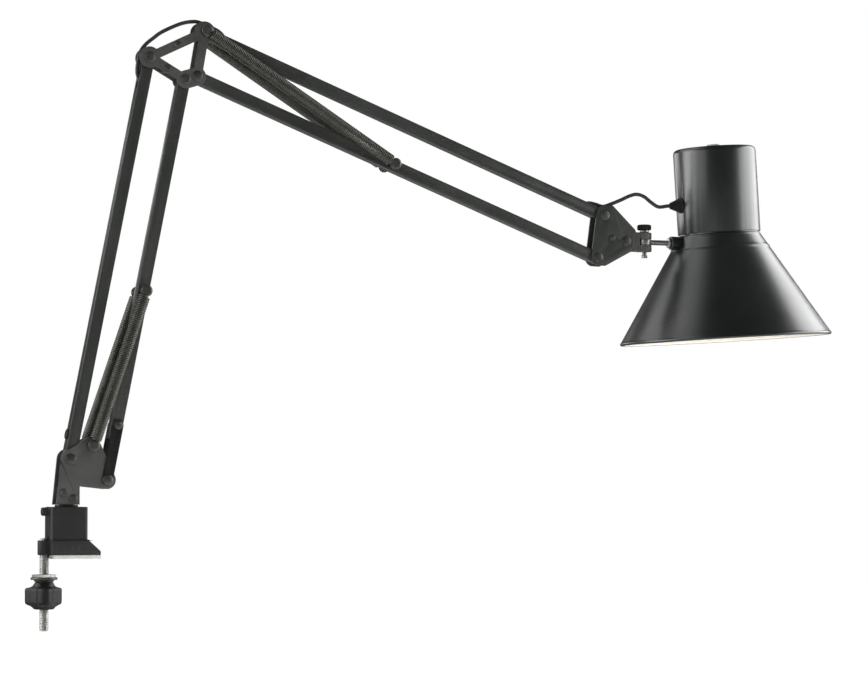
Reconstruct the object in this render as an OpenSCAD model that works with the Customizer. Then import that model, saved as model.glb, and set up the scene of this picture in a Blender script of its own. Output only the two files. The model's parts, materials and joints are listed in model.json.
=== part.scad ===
// Architect lamp: a desk clamp, two spring-balanced parallelogram arms and a shade for a screw-in bulb.
// The arms lie in the XZ plane and reach towards +X. Z is up from the desk top, and the origin is on
// the desk top, where the swivel axis of the arms meets it. All sizes are in millimetres.

/* [Clamp] */
// Width of the clamp post along the arms
post_w = 31; // [22:0.5:34]
// Depth of the clamp post across the arms
post_d = 24; // [22:0.5:30]
// Height of the post's top face above the desk
post_h = 42.4; // [36:0.2:60]
// Length of the foot in front of the swivel axis
foot_front = 25.5; // [20:0.5:40]
// Depth of the foot across the arms
foot_d = 30; // [26:1:44]
// Thickness of the foot at the post
foot_t = 12; // [7:0.5:14]
// Thickness of the foot at its toe
toe_t = 3; // [2:0.25:4]
// Thickness of the pad under the foot
pad_t = 3; // [1.5:0.25:5]
// Diameter of the threaded clamp rod
rod_d = 8; // [6:0.5:10]
// Length of the rod below the desk top
rod_drop = 59.2; // [56:0.2:90]
// Length of the rod end that stands above its lug
rod_top = 2; // [2:0.5:8]
// Gap between the pad and the pressure pad, where the desk top goes
desk_gap = 12.9; // [8:0.1:13]
// Diameter of the pressure disc
disc_d = 22; // [20:0.5:32]
// Thickness of the pressure disc
disc_t = 4; // [3:0.25:6]
// Thickness of the soft pad on the pressure disc
disc_pad_t = 2.3; // [1:0.1:4]
// Height of the clamp knob
knob_h = 22; // [16:0.5:26]
// Diameter of the clamp knob's hub
knob_hub_d = 21; // [18:0.5:26]
// Reach of the clamp knob's lobes from the rod's axis
knob_reach = 16.8; // [14:0.2:22]
// Size across the flats of the nut in the knob
insert_flats = 13; // [12.5:0.5:15]
// Height of the nut in the knob
insert_h = 7; // [5:0.5:9]

/* [Swivel] */
// Diameter of the swivel pin
swivel_d = 12; // [9:0.5:13]
// Wall of the bush round the swivel pin
bush_wall = 2; // [1:0.25:2.5]
// Thickness of the bush's flange
bush_flange_t = 1.6; // [1:0.1:3]
// Height of the floor of the swivel socket above the desk
socket_floor = 7; // [6:0.5:16]
// Width of the swivel block between the base plates
swivel_block_w = 16; // [14:0.5:18]
// Height of the swivel block
swivel_block_h = 15; // [13:0.5:18]

/* [Arms] */
// Length of the lower bars between their pivots
lower_arm_length = 341.5; // [260:0.5:440]
// Slope of the lower bars above the horizontal
lower_arm_angle = 78.8; // [74:0.1:84]
// Length of the upper bars between their pivots
upper_arm_length = 396; // [300:1:480]
// Slope of the upper bars above the horizontal
upper_arm_angle = -21.1; // [-28:0.1:-12]
// Outer width of the bars' square tube
bar_w = 10; // [9:0.25:11]
// Wall of the bars' tube
bar_wall = 1; // [0.8:0.1:1.2]
// Reach of the end plugs into the bars
plug_reach = 10; // [8:0.5:12]

/* [Brackets] */
// Thickness of the bracket plates
plate_t = 1.6; // [1:0.1:2.5]
// Diameter of the pivot pins
pivot_d = 5; // [4:0.1:5.6]
// Diameter of the rivet heads on the pivots
rivet_head_d = 9; // [8:0.25:10]
// Thickness of the rivet heads
rivet_head_t = 1.6; // [1:0.1:2.4]
// Diameter of the small rivets
small_rivet_d = 4; // [3:0.1:4.4]
// Place of the rear bar's lower pivot in front of the swivel axis
rear_pivot_x = 1.7; // [0:0.1:7]
// Height of the rear bar's lower pivot above the post
rear_pivot_rise = 39.2; // [37:0.1:46]
// Distance between the lower bars' pivots
lower_link = 35.4; // [34:0.1:40]
// Direction from a rear pivot to its front pivot
lower_link_angle = -29; // [-32:0.5:-24]
// Distance between the elbow's rear and top pivots
elbow_reach = 53.3; // [50:0.1:60]
// Direction from the elbow's rear pivot to its top pivot
elbow_angle = 26.2; // [23:0.1:29]
// Distance between the upper bars' pivots
upper_link = 38; // [36.5:0.1:40]
// Direction from an upper pivot to the pivot under it
upper_link_angle = -99.7; // [-102:0.1:-98]
// Width of the webs of the open elbow plates
web_w = 8; // [6:0.25:9]
// Radius of the elbow plates round their rear and top pivots
big_lobe_r = 9; // [8.5:0.1:9.6]
// Radius of the plates round their other pivots
small_lobe_r = 7.5; // [6.5:0.1:8]
// Length of the straps that carry the front bar's lower end
strap_reach = 46; // [45:0.5:52]
// Thickness of those straps
strap_t = 1; // [0.8:0.1:1.2]

/* [Springs] */
// Outer diameter of the spring coils
coil_d = 10.4; // [9:0.2:11]
// Diameter of the spring wire
wire_d = 1.4; // [1:0.1:1.6]
// Curls in each lower spring
lower_curls = 16; // [10:1:18]
// Curls in each upper spring
upper_curls = 22; // [14:1:26]
// Distance of the lower springs' foot anchor from the front bar's lower pivot
lower_anchor_r = 31.4; // [31:0.1:34]
// Direction of that anchor from the pivot
lower_anchor_angle = 115.1; // [112:0.1:118]
// Place of the lower springs' top anchor along the front bar
lower_spring_reach = 159.7; // [130:0.1:200]
// Place of the upper springs' far anchor along the bottom bar
upper_spring_reach = 188; // [150:1:240]

/* [Head] */
// Place of the tilt pivot from the top bar's far pivot, along X
tilt_dx = 20.9; // [20:0.1:24]
// Place of the tilt pivot from the top bar's far pivot, along Z
tilt_dz = -22.1; // [-25:0.1:-20]
// Distance from the tilt pivot to the thumb screw's axis
knuckle_reach = 20.5; // [20:0.1:26]
// Height of the knuckle
knuckle_h = 17; // [15:0.5:20]
// Width of the knuckle's fork
knuckle_w = 13; // [12:0.25:15]
// Diameter of the thumb screw
thumb_d = 4; // [3:0.1:4.6]
// Diameter of the thumb screw's knob
thumb_knob_d = 12.6; // [11:0.2:16]
// Thickness of the thumb screw's knob
thumb_knob_t = 5; // [4:0.25:7]
// Diameter of the stem that carries the shade
stem_d = 4.6; // [4:0.1:5]
// Distance from the thumb screw's axis to the shade's axis
stem_reach = 74.6; // [72:0.1:84]
// Reach of the stem's boss outside the shade
boss_reach = 5.5; // [4:0.25:7]
// Diameter of the stem's boss
boss_d = 12; // [10.5:0.25:13]

/* [Shade] */
// Outer diameter of the shade's neck
neck_d = 74; // [70:0.5:80]
// Height of the neck above the cone
neck_h = 79; // [76:0.5:90]
// Outer diameter of the shade's rim
rim_d = 189; // [180:1:220]
// Height of the shade's cone
cone_h = 92; // [88:0.5:120]
// Wall of the shade's sheet
shade_wall = 1.2; // [0.8:0.1:1.6]
// Radius of the rolled bead at the rim
bead_r = 1.6; // [1.2:0.1:2]
// Lean of the shade's axis out of the vertical
shade_lean = 3.6; // [0:0.1:7]
// Height of the seam between the cone and the neck
seam_h = 2.6; // [2.4:0.1:4]
// Height of the cone's collar inside the neck
collar_h = 14; // [10:0.5:16]
// Radius of the neck's rounded top edge
neck_round = 4; // [2:0.5:6]
// Vent slots in the neck's top
vent_count = 10; // [6:1:14]
// Diameter of the switch button
button_d = 13; // [10:0.5:16]
// Rise of the switch button above the neck
button_rise = 3.4; // [3:0.1:5]

/* [Bulb] */
// Diameter of the bulb's globe
globe_d = 60; // [50:1:62]
// Length of the bulb's glass
glass_h = 82; // [76:1:92]
// Wall of the bulb's glass
glass_wall = 1; // [0.6:0.1:1.5]
// Diameter of the bulb's screw cap
cap_d = 26.2; // [25:0.1:27]
// Length of the bulb's screw cap
cap_h = 24; // [20:0.5:26]
// Outer diameter of the lampholder
holder_d = 40; // [37:0.5:42]
// Height of the lampholder
holder_h = 42; // [38:0.5:44]
// Height of the lampholder's mouth above the cone
holder_z = 18; // [16:0.5:20]

/* [Flex] */
// Diameter of the flex
flex_d = 3.2; // [2.6:0.1:3.4]
// Height of the flex's gland above the cone
gland_z = 28.5; // [24:0.5:36]
// Length of the gland outside the neck
gland_reach = 10.5; // [8:0.25:12]

/* [Clearances] */
// Radial clearance of a shaft that turns or slides in its bore
running = 0.05; // [0.02:0.01:0.1]
// Clearance of a fixed fit, each side
fixed = 0.05; // [0.02:0.01:0.1]
// Gap between flat faces that pass each other
side_gap = 0.3; // [0.2:0.05:0.5]
// Gap between a turning face and the face that carries it
seat_gap = 0.2; // [0.1:0.05:0.4]

/* [Hidden] */
$fn = 48;

// Colours, as the lamp shows them
paint = [0.10, 0.11, 0.10];
plate_paint = [0.20, 0.20, 0.19];
black_plastic = [0.05, 0.05, 0.05];
zinc = [0.62, 0.62, 0.60];
spring_steel = [0.30, 0.30, 0.28];
brass = [0.72, 0.60, 0.32];
rubber = [0.45, 0.38, 0.36];
flex_grey = [0.24, 0.24, 0.24];
white_part = [0.90, 0.89, 0.86];
glass = [0.95, 0.95, 0.92, 0.6];

// How far a cutter stands out of the piece that it cuts
over = 1;

// Small sizes of the clamp and its bracket
rod_lug_wall = 1.5;
rod_set_in = 1;
post_round = 3;
post_boss_d = 7;
post_boss_reach = 5.5;
post_boss_drop = 0.4;
bush_flange_reach = 1.5;
disc_hub_d = 15;
disc_pad_inset = 1;
knob_bore_play = 0.6;
knob_lobes = 3;
knob_lobe_r = 5.6;
knob_lobe_turn = 20;
knob_lobe_h = 0.6 * knob_h;
plate_skirt = 1.5;
block_rivet_x = 4;
block_rivet_low = 5;
block_rivet_high = 9.5;
small_head_d = 0.8 * rivet_head_d;
rivet_step = 0.72;

// Small sizes of the arms
spacer_d = 9;
elbow_spacer_d = 7;
strap_half = 4.6;
strap_overlap = 12;
slot_length = 15;
slot_inset = 27;
grommet_x = 20;
grommet_hole_d = 6;
grommet_flange_reach = 1.2;
grommet_flange_t = 1.5;

// Small sizes of the springs
spring_room = 1;
eye_play = 0.3;
spring_collar_d = pivot_d + 2;
spring_head_t = 1.6;
eye_throat = 3.2;

// Small sizes of the head
stem_depth = 7.8;
knuckle_tongue_r = 7;
knuckle_back = 6;
eye_disc_r = 5.8;
eye_disc_play = 0.5;
thumb_washer_t = 2;
thumb_tail = 5.5;
thumb_tip_h = 2.4;
thumb_tip_reach = 0.7;
thumb_ribs = 12;
thumb_rib_r = 1;
boss_wall_depth = 3.3;
boss_inside = 9;
stem_collar_t = 2;
stem_nut_wall = 2;
stem_nut_t = 3.5;
stem_tail = 1.3;

// Small sizes of the shade and what is in it
collar_lip = 0.8;
vent_w = 3;
vent_in = 0.62;
vent_reach = 0.2;
lid_cut = 5;
holder_post_d = 8;
holder_post_at = 13;
holder_play = 1;
holder_mouth_d = cap_d + 7;
cap_depth = 10;
contact_d = 9;
contact_h = 2;
switch_wall = 1.75;
switch_h = 10;
switch_floor_t = 1.5;
button_travel = 3;

// Small sizes of the flex and its gland
flex_play = 0.5;
flex_inset = 34;
flex_bend = 5;
flex_rise = 6;
elbow_loop_rise = 15;
head_loop_rise = 20.4;
gland_thread_d = 9;
gland_bite = 0.6;
gland_flange_t = 1.5;
gland_flange_reach = 2.5;
gland_nut_t = 2.5;
gland_nut_gap = 1;
gland_tip_wall = 1.5;

// Points of the arms in the XZ plane, written [x, z]
function polar(r, angle) = [r * cos(angle), r * sin(angle)];
rear_base = [rear_pivot_x, post_h + rear_pivot_rise];
front_base = rear_base + polar(lower_link, lower_link_angle);
rear_elbow = rear_base + polar(lower_arm_length, lower_arm_angle);
front_elbow = rear_elbow + polar(lower_link, lower_link_angle);
top_elbow = rear_elbow + polar(elbow_reach, elbow_angle);
bottom_elbow = top_elbow + polar(upper_link, upper_link_angle);
top_head = top_elbow + polar(upper_arm_length, upper_arm_angle);
bottom_head = top_head + polar(upper_link, upper_link_angle);
tilt_pivot = top_head + [tilt_dx, tilt_dz];
lower_anchor = front_base + polar(lower_anchor_r, lower_anchor_angle);
lower_catch = front_base + polar(lower_spring_reach, lower_arm_angle);
upper_anchor = top_elbow;
upper_catch = bottom_elbow + polar(upper_spring_reach, upper_arm_angle);
thumb_x = tilt_pivot[0] + knuckle_reach;
stem_z = tilt_pivot[1];
shade_x = thumb_x + stem_reach;
shade_z = stem_z + stem_depth;

// Layers across the arms, measured from the XZ plane
bar_half = bar_w / 2;
bar_room = bar_half - bar_wall;
plate_in = bar_half + side_gap;
plate_out = plate_in + plate_t;
strap_in = plate_out + side_gap;
strap_out = strap_in + strap_t;
spring_y = plate_out + spring_room + coil_d / 2;
wire_r = wire_d / 2;
coil_r = (coil_d - wire_d) / 2;
eye_r = pivot_d / 2 + eye_play + wire_r;
shoulder_y = spring_y - wire_r - eye_play;
spring_head_y = spring_y + wire_r + eye_play;

// Heights of the clamp
foot_top = pad_t + foot_t;
rod_x = -(post_w / 2 + rod_d / 2 - rod_set_in);
rod_lug_r = rod_d / 2 + rod_lug_wall;
disc_top = -desk_gap;
disc_seat = disc_top - disc_pad_t;
disc_bottom = disc_seat - disc_t;
knob_top = disc_bottom - seat_gap;
knob_bottom = knob_top - knob_h;
swivel_block_z = post_h + bush_flange_t + seat_gap;
bush_d = swivel_d + 2 * running + 2 * bush_wall;

// Convex outline: circles at the points, counter-clockwise, joined by their outer tangents
function tangent(a, b, ra, rb) =
    let (u = (b - a) / norm(b - a), s = (ra - rb) / norm(b - a),
        n = s * u + sqrt(1 - s * s) * [u[1], -u[0]])
    [a + ra * n, b + rb * n];

module rounded(points, radii) {
    count = len(points);
    polygon([
        for (i = [0 : count - 1])
            let (k = (i + 1) % count)
                each tangent(points[i], points[k], radii[i], radii[k])
    ]);
    for (i = [0 : count - 1])
        translate(points[i])
            circle(radii[i]);
}

// Straight-edged band between two points, of half width r, with round ends
module link(p, q, r) {
    rounded([p, q], [r, r]);
}

// Flat shape drawn in x and z, given its thickness from y0 to y1
module slab(y0, y1) {
    translate([0, y1, 0])
        rotate([90, 0, 0])
            linear_extrude(y1 - y0)
                children();
}

// Round bar along Y through the point p, from y0 to y1
module across(p, y0, y1, d) {
    translate([p[0], y0, p[1]])
        rotate([-90, 0, 0])
            cylinder(d = d, h = y1 - y0);
}

// Carries its children to the point p and turns them so that +X runs up the slope
module on_slope(p, angle) {
    translate([p[0], 0, p[1]])
        rotate([0, -angle, 0])
            children();
}

// Rivet through the point p, with stepped round heads outside half_span
module rivet(p, half_span, shank_d, head_d) {
    across(p, -half_span, half_span, shank_d);
    for (side = [-1, 1]) {
        across(p, side > 0 ? half_span : -half_span - rivet_head_t / 2,
            side > 0 ? half_span + rivet_head_t / 2 : -half_span, head_d);
        across(p, side > 0 ? half_span : -half_span - rivet_head_t,
            side > 0 ? half_span + rivet_head_t : -half_span, rivet_step * head_d);
    }
}

module plate_holes(points, d) {
    for (p = points)
        across(p, -2 * plate_out, 2 * plate_out, d + 2 * fixed);
}

// Closed tube along a list of points, with one reference direction for each ring
function unit(v) = v / norm(v);
function ring(p, along, toward, r, sides) =
    let (u = unit(toward - (toward * along) * along), v = cross(along, u))
    [for (k = [0 : sides - 1]) p + r * (cos(360 * k / sides) * u + sin(360 * k / sides) * v)];
function heading(points, i) =
    i == 0 ? unit(points[1] - points[0])
    : i == len(points) - 1 ? unit(points[i] - points[i - 1])
    : unit(unit(points[i + 1] - points[i]) + unit(points[i] - points[i - 1]));

module tube(points, refs, r, sides) {
    count = len(points);
    corners = [
        for (i = [0 : count - 1])
            each ring(points[i], heading(points, i), refs[i], r, sides)
    ];
    walls = [
        for (i = [0 : count - 2])
            for (k = [0 : sides - 1])
                let (a = i * sides + k, b = i * sides + (k + 1) % sides)
                    each [[a, b, b + sides], [a, b + sides, a + sides]]
    ];
    first_cap = [for (k = [1 : sides - 2]) [0, k + 1, k]];
    base = (count - 1) * sides;
    last_cap = [for (k = [1 : sides - 2]) [base, base + k, base + k + 1]];
    polyhedron(corners, [for (f = concat(walls, first_cap, last_cap)) [f[0], f[2], f[1]]]);
}

// Least clear gap between far-apart stretches of a wire, found on its points
function least_gap(points, skip, d) =
    min([for (i = [0 : len(points) - skip - 1]) for (k = [i + skip : len(points) - 1])
        norm(points[i] - points[k])]) - d;

// Points of a soft route that passes through the given points
function soft_point(a, b, c, d, t) =
    0.5 * ((2 * b) + (c - a) * t + (2 * a - 5 * b + 4 * c - d) * t * t
        + (3 * b - a - 3 * c + d) * t * t * t);
function soft_route(p, steps) =
    let (n = len(p))
    concat([
        for (i = [0 : n - 2])
            for (k = [0 : steps - 1])
                soft_point(p[max(i - 1, 0)], p[i], p[i + 1], p[min(i + 2, n - 1)], k / steps)
    ], [p[n - 1]]);

module flex_run(route) {
    points = [for (p = route) [p[0], 0, p[1]]];
    tube(points, [for (p = points) [0, 1, 0]], flex_d / 2, 8);
}

// Clamp
module post_plan() {
    inset = [post_w / 2 - post_round, post_d / 2 - post_round];
    square([post_w, 2 * inset[1]], center = true);
    square([2 * inset[0], post_d], center = true);
    for (sx = [-1, 1])
        for (sy = [-1, 1])
            translate([sx * inset[0], sy * inset[1]])
                circle(post_round);
}

module clamp_body() {
    color(paint)
        difference() {
            union() {
                translate([0, 0, pad_t])
                    linear_extrude(post_h - pad_t)
                        post_plan();
                slab(-foot_d / 2, foot_d / 2)
                    polygon([
                        [-post_w / 2, pad_t], [foot_front, pad_t], [foot_front, pad_t + toe_t],
                        [post_w / 2, foot_top], [-post_w / 2, foot_top]
                    ]);
                translate([rod_x, 0, pad_t])
                    cylinder(r = rod_lug_r, h = foot_t);
                translate([rod_x, -rod_lug_r, pad_t])
                    cube([-rod_x - post_w / 4, 2 * rod_lug_r, foot_t]);
                translate([-post_w / 2 - post_boss_reach, 0, post_h - post_boss_d / 2 - post_boss_drop])
                    rotate([0, 90, 0])
                        cylinder(d = post_boss_d, h = post_boss_reach + post_w / 8);
            }
            translate([0, 0, socket_floor])
                cylinder(d = bush_d + 2 * fixed, h = post_h);
            translate([rod_x, 0, 0])
                cylinder(d = rod_d + 2 * fixed, h = foot_top + rod_top + over);
        }
}

module clamp_rod() {
    color(zinc)
        translate([rod_x, 0, -rod_drop])
            cylinder(d = rod_d, h = rod_drop + foot_top + rod_top);
}

module foot_pad() {
    color(rubber)
        difference() {
            translate([-post_w / 2 + fixed, -foot_d / 2, 0])
                cube([post_w / 2 + foot_front - fixed, foot_d, pad_t]);
            translate([rod_x, 0, -over])
                cylinder(d = rod_d + 2 * side_gap, h = pad_t + 2 * over);
        }
}

module socket_bush() {
    color(black_plastic)
        difference() {
            union() {
                translate([0, 0, socket_floor])
                    cylinder(d = bush_d, h = post_h - socket_floor);
                translate([0, 0, post_h])
                    cylinder(d = bush_d + 2 * bush_flange_reach, h = bush_flange_t);
            }
            translate([0, 0, socket_floor - over])
                cylinder(d = swivel_d + 2 * running, h = post_h + bush_flange_t);
        }
}

module pressure_disc() {
    color(zinc)
        difference() {
            translate([rod_x, 0, disc_bottom]) {
                translate([0, 0, disc_t / 2])
                    cylinder(d = disc_d, h = disc_t / 2);
                cylinder(d = disc_hub_d, h = disc_t);
            }
            translate([rod_x, 0, disc_bottom - over])
                cylinder(d = rod_d + 2 * running, h = disc_t + 2 * over);
        }
}

module disc_pad() {
    color(rubber)
        difference() {
            translate([rod_x, 0, disc_seat])
                cylinder(d = disc_d - 2 * disc_pad_inset, h = disc_pad_t);
            translate([rod_x, 0, disc_seat - over])
                cylinder(d = rod_d + 2 * side_gap, h = disc_pad_t + 2 * over);
        }
}

module clamp_knob() {
    color(black_plastic)
        difference() {
            translate([rod_x, 0, knob_bottom]) {
                cylinder(d = knob_hub_d, h = knob_h);
                translate([0, 0, (knob_h - knob_lobe_h) / 2])
                    linear_extrude(knob_lobe_h)
                        for (k = [0 : knob_lobes - 1])
                            rotate(360 * k / knob_lobes + knob_lobe_turn)
                                link([0, 0], [knob_reach - knob_lobe_r, 0], knob_lobe_r);
            }
            translate([rod_x, 0, knob_bottom - over])
                cylinder(d = rod_d + 2 * knob_bore_play, h = knob_h + 2 * over);
            translate([rod_x, 0, knob_top - insert_h])
                cylinder(d = insert_flats / cos(30) + 2 * fixed, h = insert_h + over, $fn = 6);
        }
}

module knob_insert() {
    color(brass)
        difference() {
            translate([rod_x, 0, knob_top - insert_h + fixed])
                cylinder(d = insert_flats / cos(30), h = insert_h - fixed, $fn = 6);
            translate([rod_x, 0, knob_top - insert_h - over])
                cylinder(d = rod_d + 2 * running, h = insert_h + 2 * over);
        }
}

// Base bracket, which swivels on the clamp
block_rivets = [
    [-block_rivet_x, swivel_block_z + block_rivet_high], [block_rivet_x, swivel_block_z + block_rivet_low]
];

module base_outline() {
    foot_z = swivel_block_z;
    half = swivel_block_w / 2 + plate_skirt;
    rear_r = small_lobe_r + 1;
    link(rear_base, lower_anchor, small_lobe_r);
    link(lower_anchor, front_base, small_lobe_r);
    link(rear_base, front_base, small_lobe_r);
    translate(rear_base)
        circle(rear_r);
    polygon([rear_base, front_base, lower_anchor]);
    polygon([
        [-half - 1, foot_z], [half, foot_z], [half, front_base[1] - pivot_d], front_base - [0, small_lobe_r],
        front_base, rear_base, rear_base - [rear_r, 0]
    ]);
}

module base_plate() {
    difference() {
        slab(plate_in, plate_out)
            base_outline();
        plate_holes([rear_base, front_base, lower_anchor], pivot_d);
        plate_holes(block_rivets, small_rivet_d);
    }
}

module base_plate_near() {
    color(plate_paint)
        mirror([0, 1, 0])
            base_plate();
}

module base_plate_far() {
    color(plate_paint)
        base_plate();
}

module swivel_pin() {
    block_half = plate_in - fixed;
    core_r = block_half - side_gap;
    pin_bottom = socket_floor + side_gap;
    color(paint)
        difference() {
            union() {
                translate([-swivel_block_w / 2, -block_half, swivel_block_z])
                    cube([swivel_block_w, 2 * block_half, swivel_block_h]);
                translate([0, 0, pin_bottom]) {
                    cylinder(d = swivel_d, h = swivel_block_z - pin_bottom);
                    cylinder(r = core_r, h = swivel_block_z - pin_bottom + over);
                }
            }
            plate_holes(block_rivets, small_rivet_d);
        }
}

module base_rivets() {
    color(zinc)
        for (p = block_rivets)
            rivet(p, plate_out, small_rivet_d, small_head_d);
}

module base_pivot_pins() {
    color(zinc) {
        rivet(rear_base, plate_out, pivot_d, rivet_head_d);
        rivet(front_base, strap_out + seat_gap, pivot_d, rivet_head_d);
        difference() {
            across(front_base, -plate_in + fixed, plate_in - fixed, spacer_d);
            across(front_base, -plate_in, plate_in, pivot_d);
        }
    }
}

// Stepped pin that carries a spring's eye on one side, from the layer where it starts
module spring_post(p, start, neck_y) {
    across(p, start, neck_y, pivot_d);
    across(p, neck_y, shoulder_y, spring_collar_d);
    across(p, shoulder_y, spring_head_y, pivot_d);
    across(p, spring_head_y, spring_head_y + spring_head_t, rivet_head_d + 1);
}

module both_sides() {
    children();
    mirror([0, 1, 0])
        children();
}

module lower_spring_anchors() {
    color(zinc)
        both_sides()
            spring_post(lower_anchor, plate_in, plate_out);
}

// Bars
module bar_outline(length, cut) {
    difference() {
        link([0, 0], [length, 0], bar_half);
        if (cut > 0)
            translate([-bar_w, -bar_w])
                square([bar_w + cut, 2 * bar_w]);
    }
}

// Square tube with round ends on its pivots, or cut square at its start
module bar_tube(length, cut = 0) {
    difference() {
        slab(-bar_half, bar_half)
            bar_outline(length, cut);
        translate([-bar_w, -bar_room, -bar_room])
            cube([length + 2 * bar_w, 2 * bar_room, 2 * bar_room]);
        for (x = cut > 0 ? [length] : [0, length])
            across([x, 0], -bar_w, bar_w, pivot_d + 2 * running);
    }
}

// Slot in the upper wall of a bar, where the flex leaves it
module flex_slot(start) {
    half = flex_d / 2 + flex_play;
    translate([start, -half, bar_room - over])
        cube([slot_length, 2 * half, bar_wall + 2 * over]);
}

module bar_plug(length, cut, at_end) {
    half = bar_room - fixed;
    start = at_end ? length - plug_reach : -bar_half + cut;
    difference() {
        slab(-half, half)
            intersection() {
                bar_outline(length, cut);
                translate([start, -half])
                    square([plug_reach + bar_half, 2 * half]);
            }
        if (at_end || cut == 0)
            across([at_end ? length : 0, 0], -bar_w, bar_w, pivot_d + 2 * running);
    }
}

module rear_bar() {
    color(paint)
        on_slope(rear_base, lower_arm_angle)
            difference() {
                bar_tube(lower_arm_length);
                flex_slot(lower_arm_length - slot_inset);
                translate([grommet_x, 0, 0])
                    cylinder(d = grommet_hole_d, h = bar_w);
            }
}

module rear_bar_plugs() {
    color(black_plastic)
        on_slope(rear_base, lower_arm_angle)
            for (at_end = [false, true])
                bar_plug(lower_arm_length, 0, at_end);
}

module flex_grommet() {
    bore = flex_d + 2 * fixed;
    color(black_plastic)
        on_slope(rear_base, lower_arm_angle)
            difference() {
                union() {
                    translate([grommet_x, 0, bar_room])
                        cylinder(d = grommet_hole_d - 2 * fixed, h = bar_wall);
                    translate([grommet_x, 0, bar_half])
                        cylinder(d = grommet_hole_d + 2 * grommet_flange_reach, h = grommet_flange_t);
                }
                translate([grommet_x, 0, 0])
                    cylinder(d = bore, h = bar_w);
            }
}

strap_start = strap_reach - strap_overlap;

module front_bar() {
    color(paint)
        on_slope(front_base, lower_arm_angle)
            difference() {
                bar_tube(lower_arm_length, strap_start);
                across([strap_reach, 0], -bar_w, bar_w, small_rivet_d + 2 * fixed);
                across([lower_spring_reach, 0], -bar_w, bar_w, pivot_d + 2 * fixed);
            }
}

module front_bar_plugs() {
    half = bar_room - fixed;
    color(black_plastic)
        on_slope(front_base, lower_arm_angle) {
            bar_plug(lower_arm_length, strap_start, true);
            translate([strap_start, -half, -half])
                cube([strap_reach - small_rivet_d - strap_start, 2 * half, 2 * half]);
        }
}

module front_bar_straps() {
    color(black_plastic)
        on_slope(front_base, lower_arm_angle)
            both_sides()
                difference() {
                    union() {
                        slab(strap_in, strap_out)
                            link([0, 0], [strap_reach, 0], strap_half);
                        across([strap_reach, 0], bar_half, strap_out, 2 * strap_half);
                    }
                    across([0, 0], 0, 2 * strap_out, pivot_d + 2 * running);
                    across([strap_reach, 0], 0, 2 * strap_out, small_rivet_d + 2 * fixed);
                }
}

module strap_rivet() {
    color(zinc)
        on_slope(front_base, lower_arm_angle)
            rivet([strap_reach, 0], strap_out, small_rivet_d, small_head_d);
}

// Pin across a bar that carries a spring's eye on each side
module bar_spring_pin(p) {
    both_sides()
        spring_post(p, 0, bar_half);
}

module lower_spring_pin() {
    color(zinc)
        bar_spring_pin(lower_catch);
}

module top_bar() {
    color(paint)
        on_slope(top_elbow, upper_arm_angle)
            difference() {
                bar_tube(upper_arm_length);
                flex_slot(slot_inset - slot_length);
                flex_slot(upper_arm_length - slot_inset);
            }
}

module top_bar_plugs() {
    color(black_plastic)
        on_slope(top_elbow, upper_arm_angle)
            for (at_end = [false, true])
                bar_plug(upper_arm_length, 0, at_end);
}

module bottom_bar() {
    color(paint)
        on_slope(bottom_elbow, upper_arm_angle)
            difference() {
                bar_tube(upper_arm_length);
                across([upper_spring_reach, 0], -bar_w, bar_w, pivot_d + 2 * fixed);
            }
}

module bottom_bar_plugs() {
    color(black_plastic)
        on_slope(bottom_elbow, upper_arm_angle)
            for (at_end = [false, true])
                bar_plug(upper_arm_length, 0, at_end);
}

module upper_spring_pin() {
    color(zinc)
        bar_spring_pin(upper_catch);
}

// Elbow
elbow_spacer_at = [(rear_elbow + top_elbow) / 2, (rear_elbow + front_elbow) / 2];

module elbow_outline() {
    web = web_w / 2;
    link(rear_elbow, top_elbow, web);
    link(rear_elbow, front_elbow, web);
    link(front_elbow, bottom_elbow, small_lobe_r);
    link(bottom_elbow, top_elbow, web);
    for (p = [rear_elbow, top_elbow])
        translate(p)
            circle(big_lobe_r);
}

module elbow_plate() {
    difference() {
        slab(plate_in, plate_out)
            elbow_outline();
        plate_holes([rear_elbow, front_elbow, top_elbow, bottom_elbow], pivot_d);
        plate_holes(elbow_spacer_at, small_rivet_d);
    }
}

module elbow_plate_near() {
    color(plate_paint)
        mirror([0, 1, 0])
            elbow_plate();
}

module elbow_plate_far() {
    color(plate_paint)
        elbow_plate();
}

// Tube that keeps two plates apart, on the rivet that draws them together
module riveted_spacer(p, d) {
    difference() {
        across(p, -plate_in + fixed, plate_in - fixed, d);
        across(p, -plate_in, plate_in, small_rivet_d + 2 * fixed);
    }
    rivet(p, plate_out, small_rivet_d, 1.5 * small_rivet_d);
}

module elbow_spacers() {
    color(zinc)
        for (p = elbow_spacer_at)
            riveted_spacer(p, elbow_spacer_d);
}

module elbow_pivot_pins() {
    color(zinc)
        for (p = [rear_elbow, front_elbow, bottom_elbow])
            rivet(p, plate_out, pivot_d, rivet_head_d);
}

module upper_spring_anchor() {
    color(zinc)
        both_sides()
            spring_post(upper_anchor, 0, plate_out);
}

// Head bracket
spacer_at = top_head + [0.33 * tilt_dx, (tilt_dz + bottom_head[1] - top_head[1]) / 3];

// Pear shape round the three pivots, with a square nose that holds the tilt pivot
module head_outline() {
    corner_r = 3;
    rounded(
        [
            bottom_head, bottom_head + [6, -4], tilt_pivot + [4.1, -5.9], tilt_pivot + [6.1, 8.6],
            top_head + [6.4, 6.2], top_head + [0, 1.2]
        ],
        [small_lobe_r - 0.7, corner_r, corner_r, corner_r, corner_r, small_lobe_r + 0.5]
    );
}

module head_plate() {
    difference() {
        slab(plate_in, plate_out)
            head_outline();
        plate_holes([top_head, bottom_head, tilt_pivot], pivot_d);
        plate_holes([spacer_at], small_rivet_d);
    }
}

module head_plate_near() {
    color(paint)
        mirror([0, 1, 0])
            head_plate();
}

module head_plate_far() {
    color(paint)
        head_plate();
}

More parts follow.
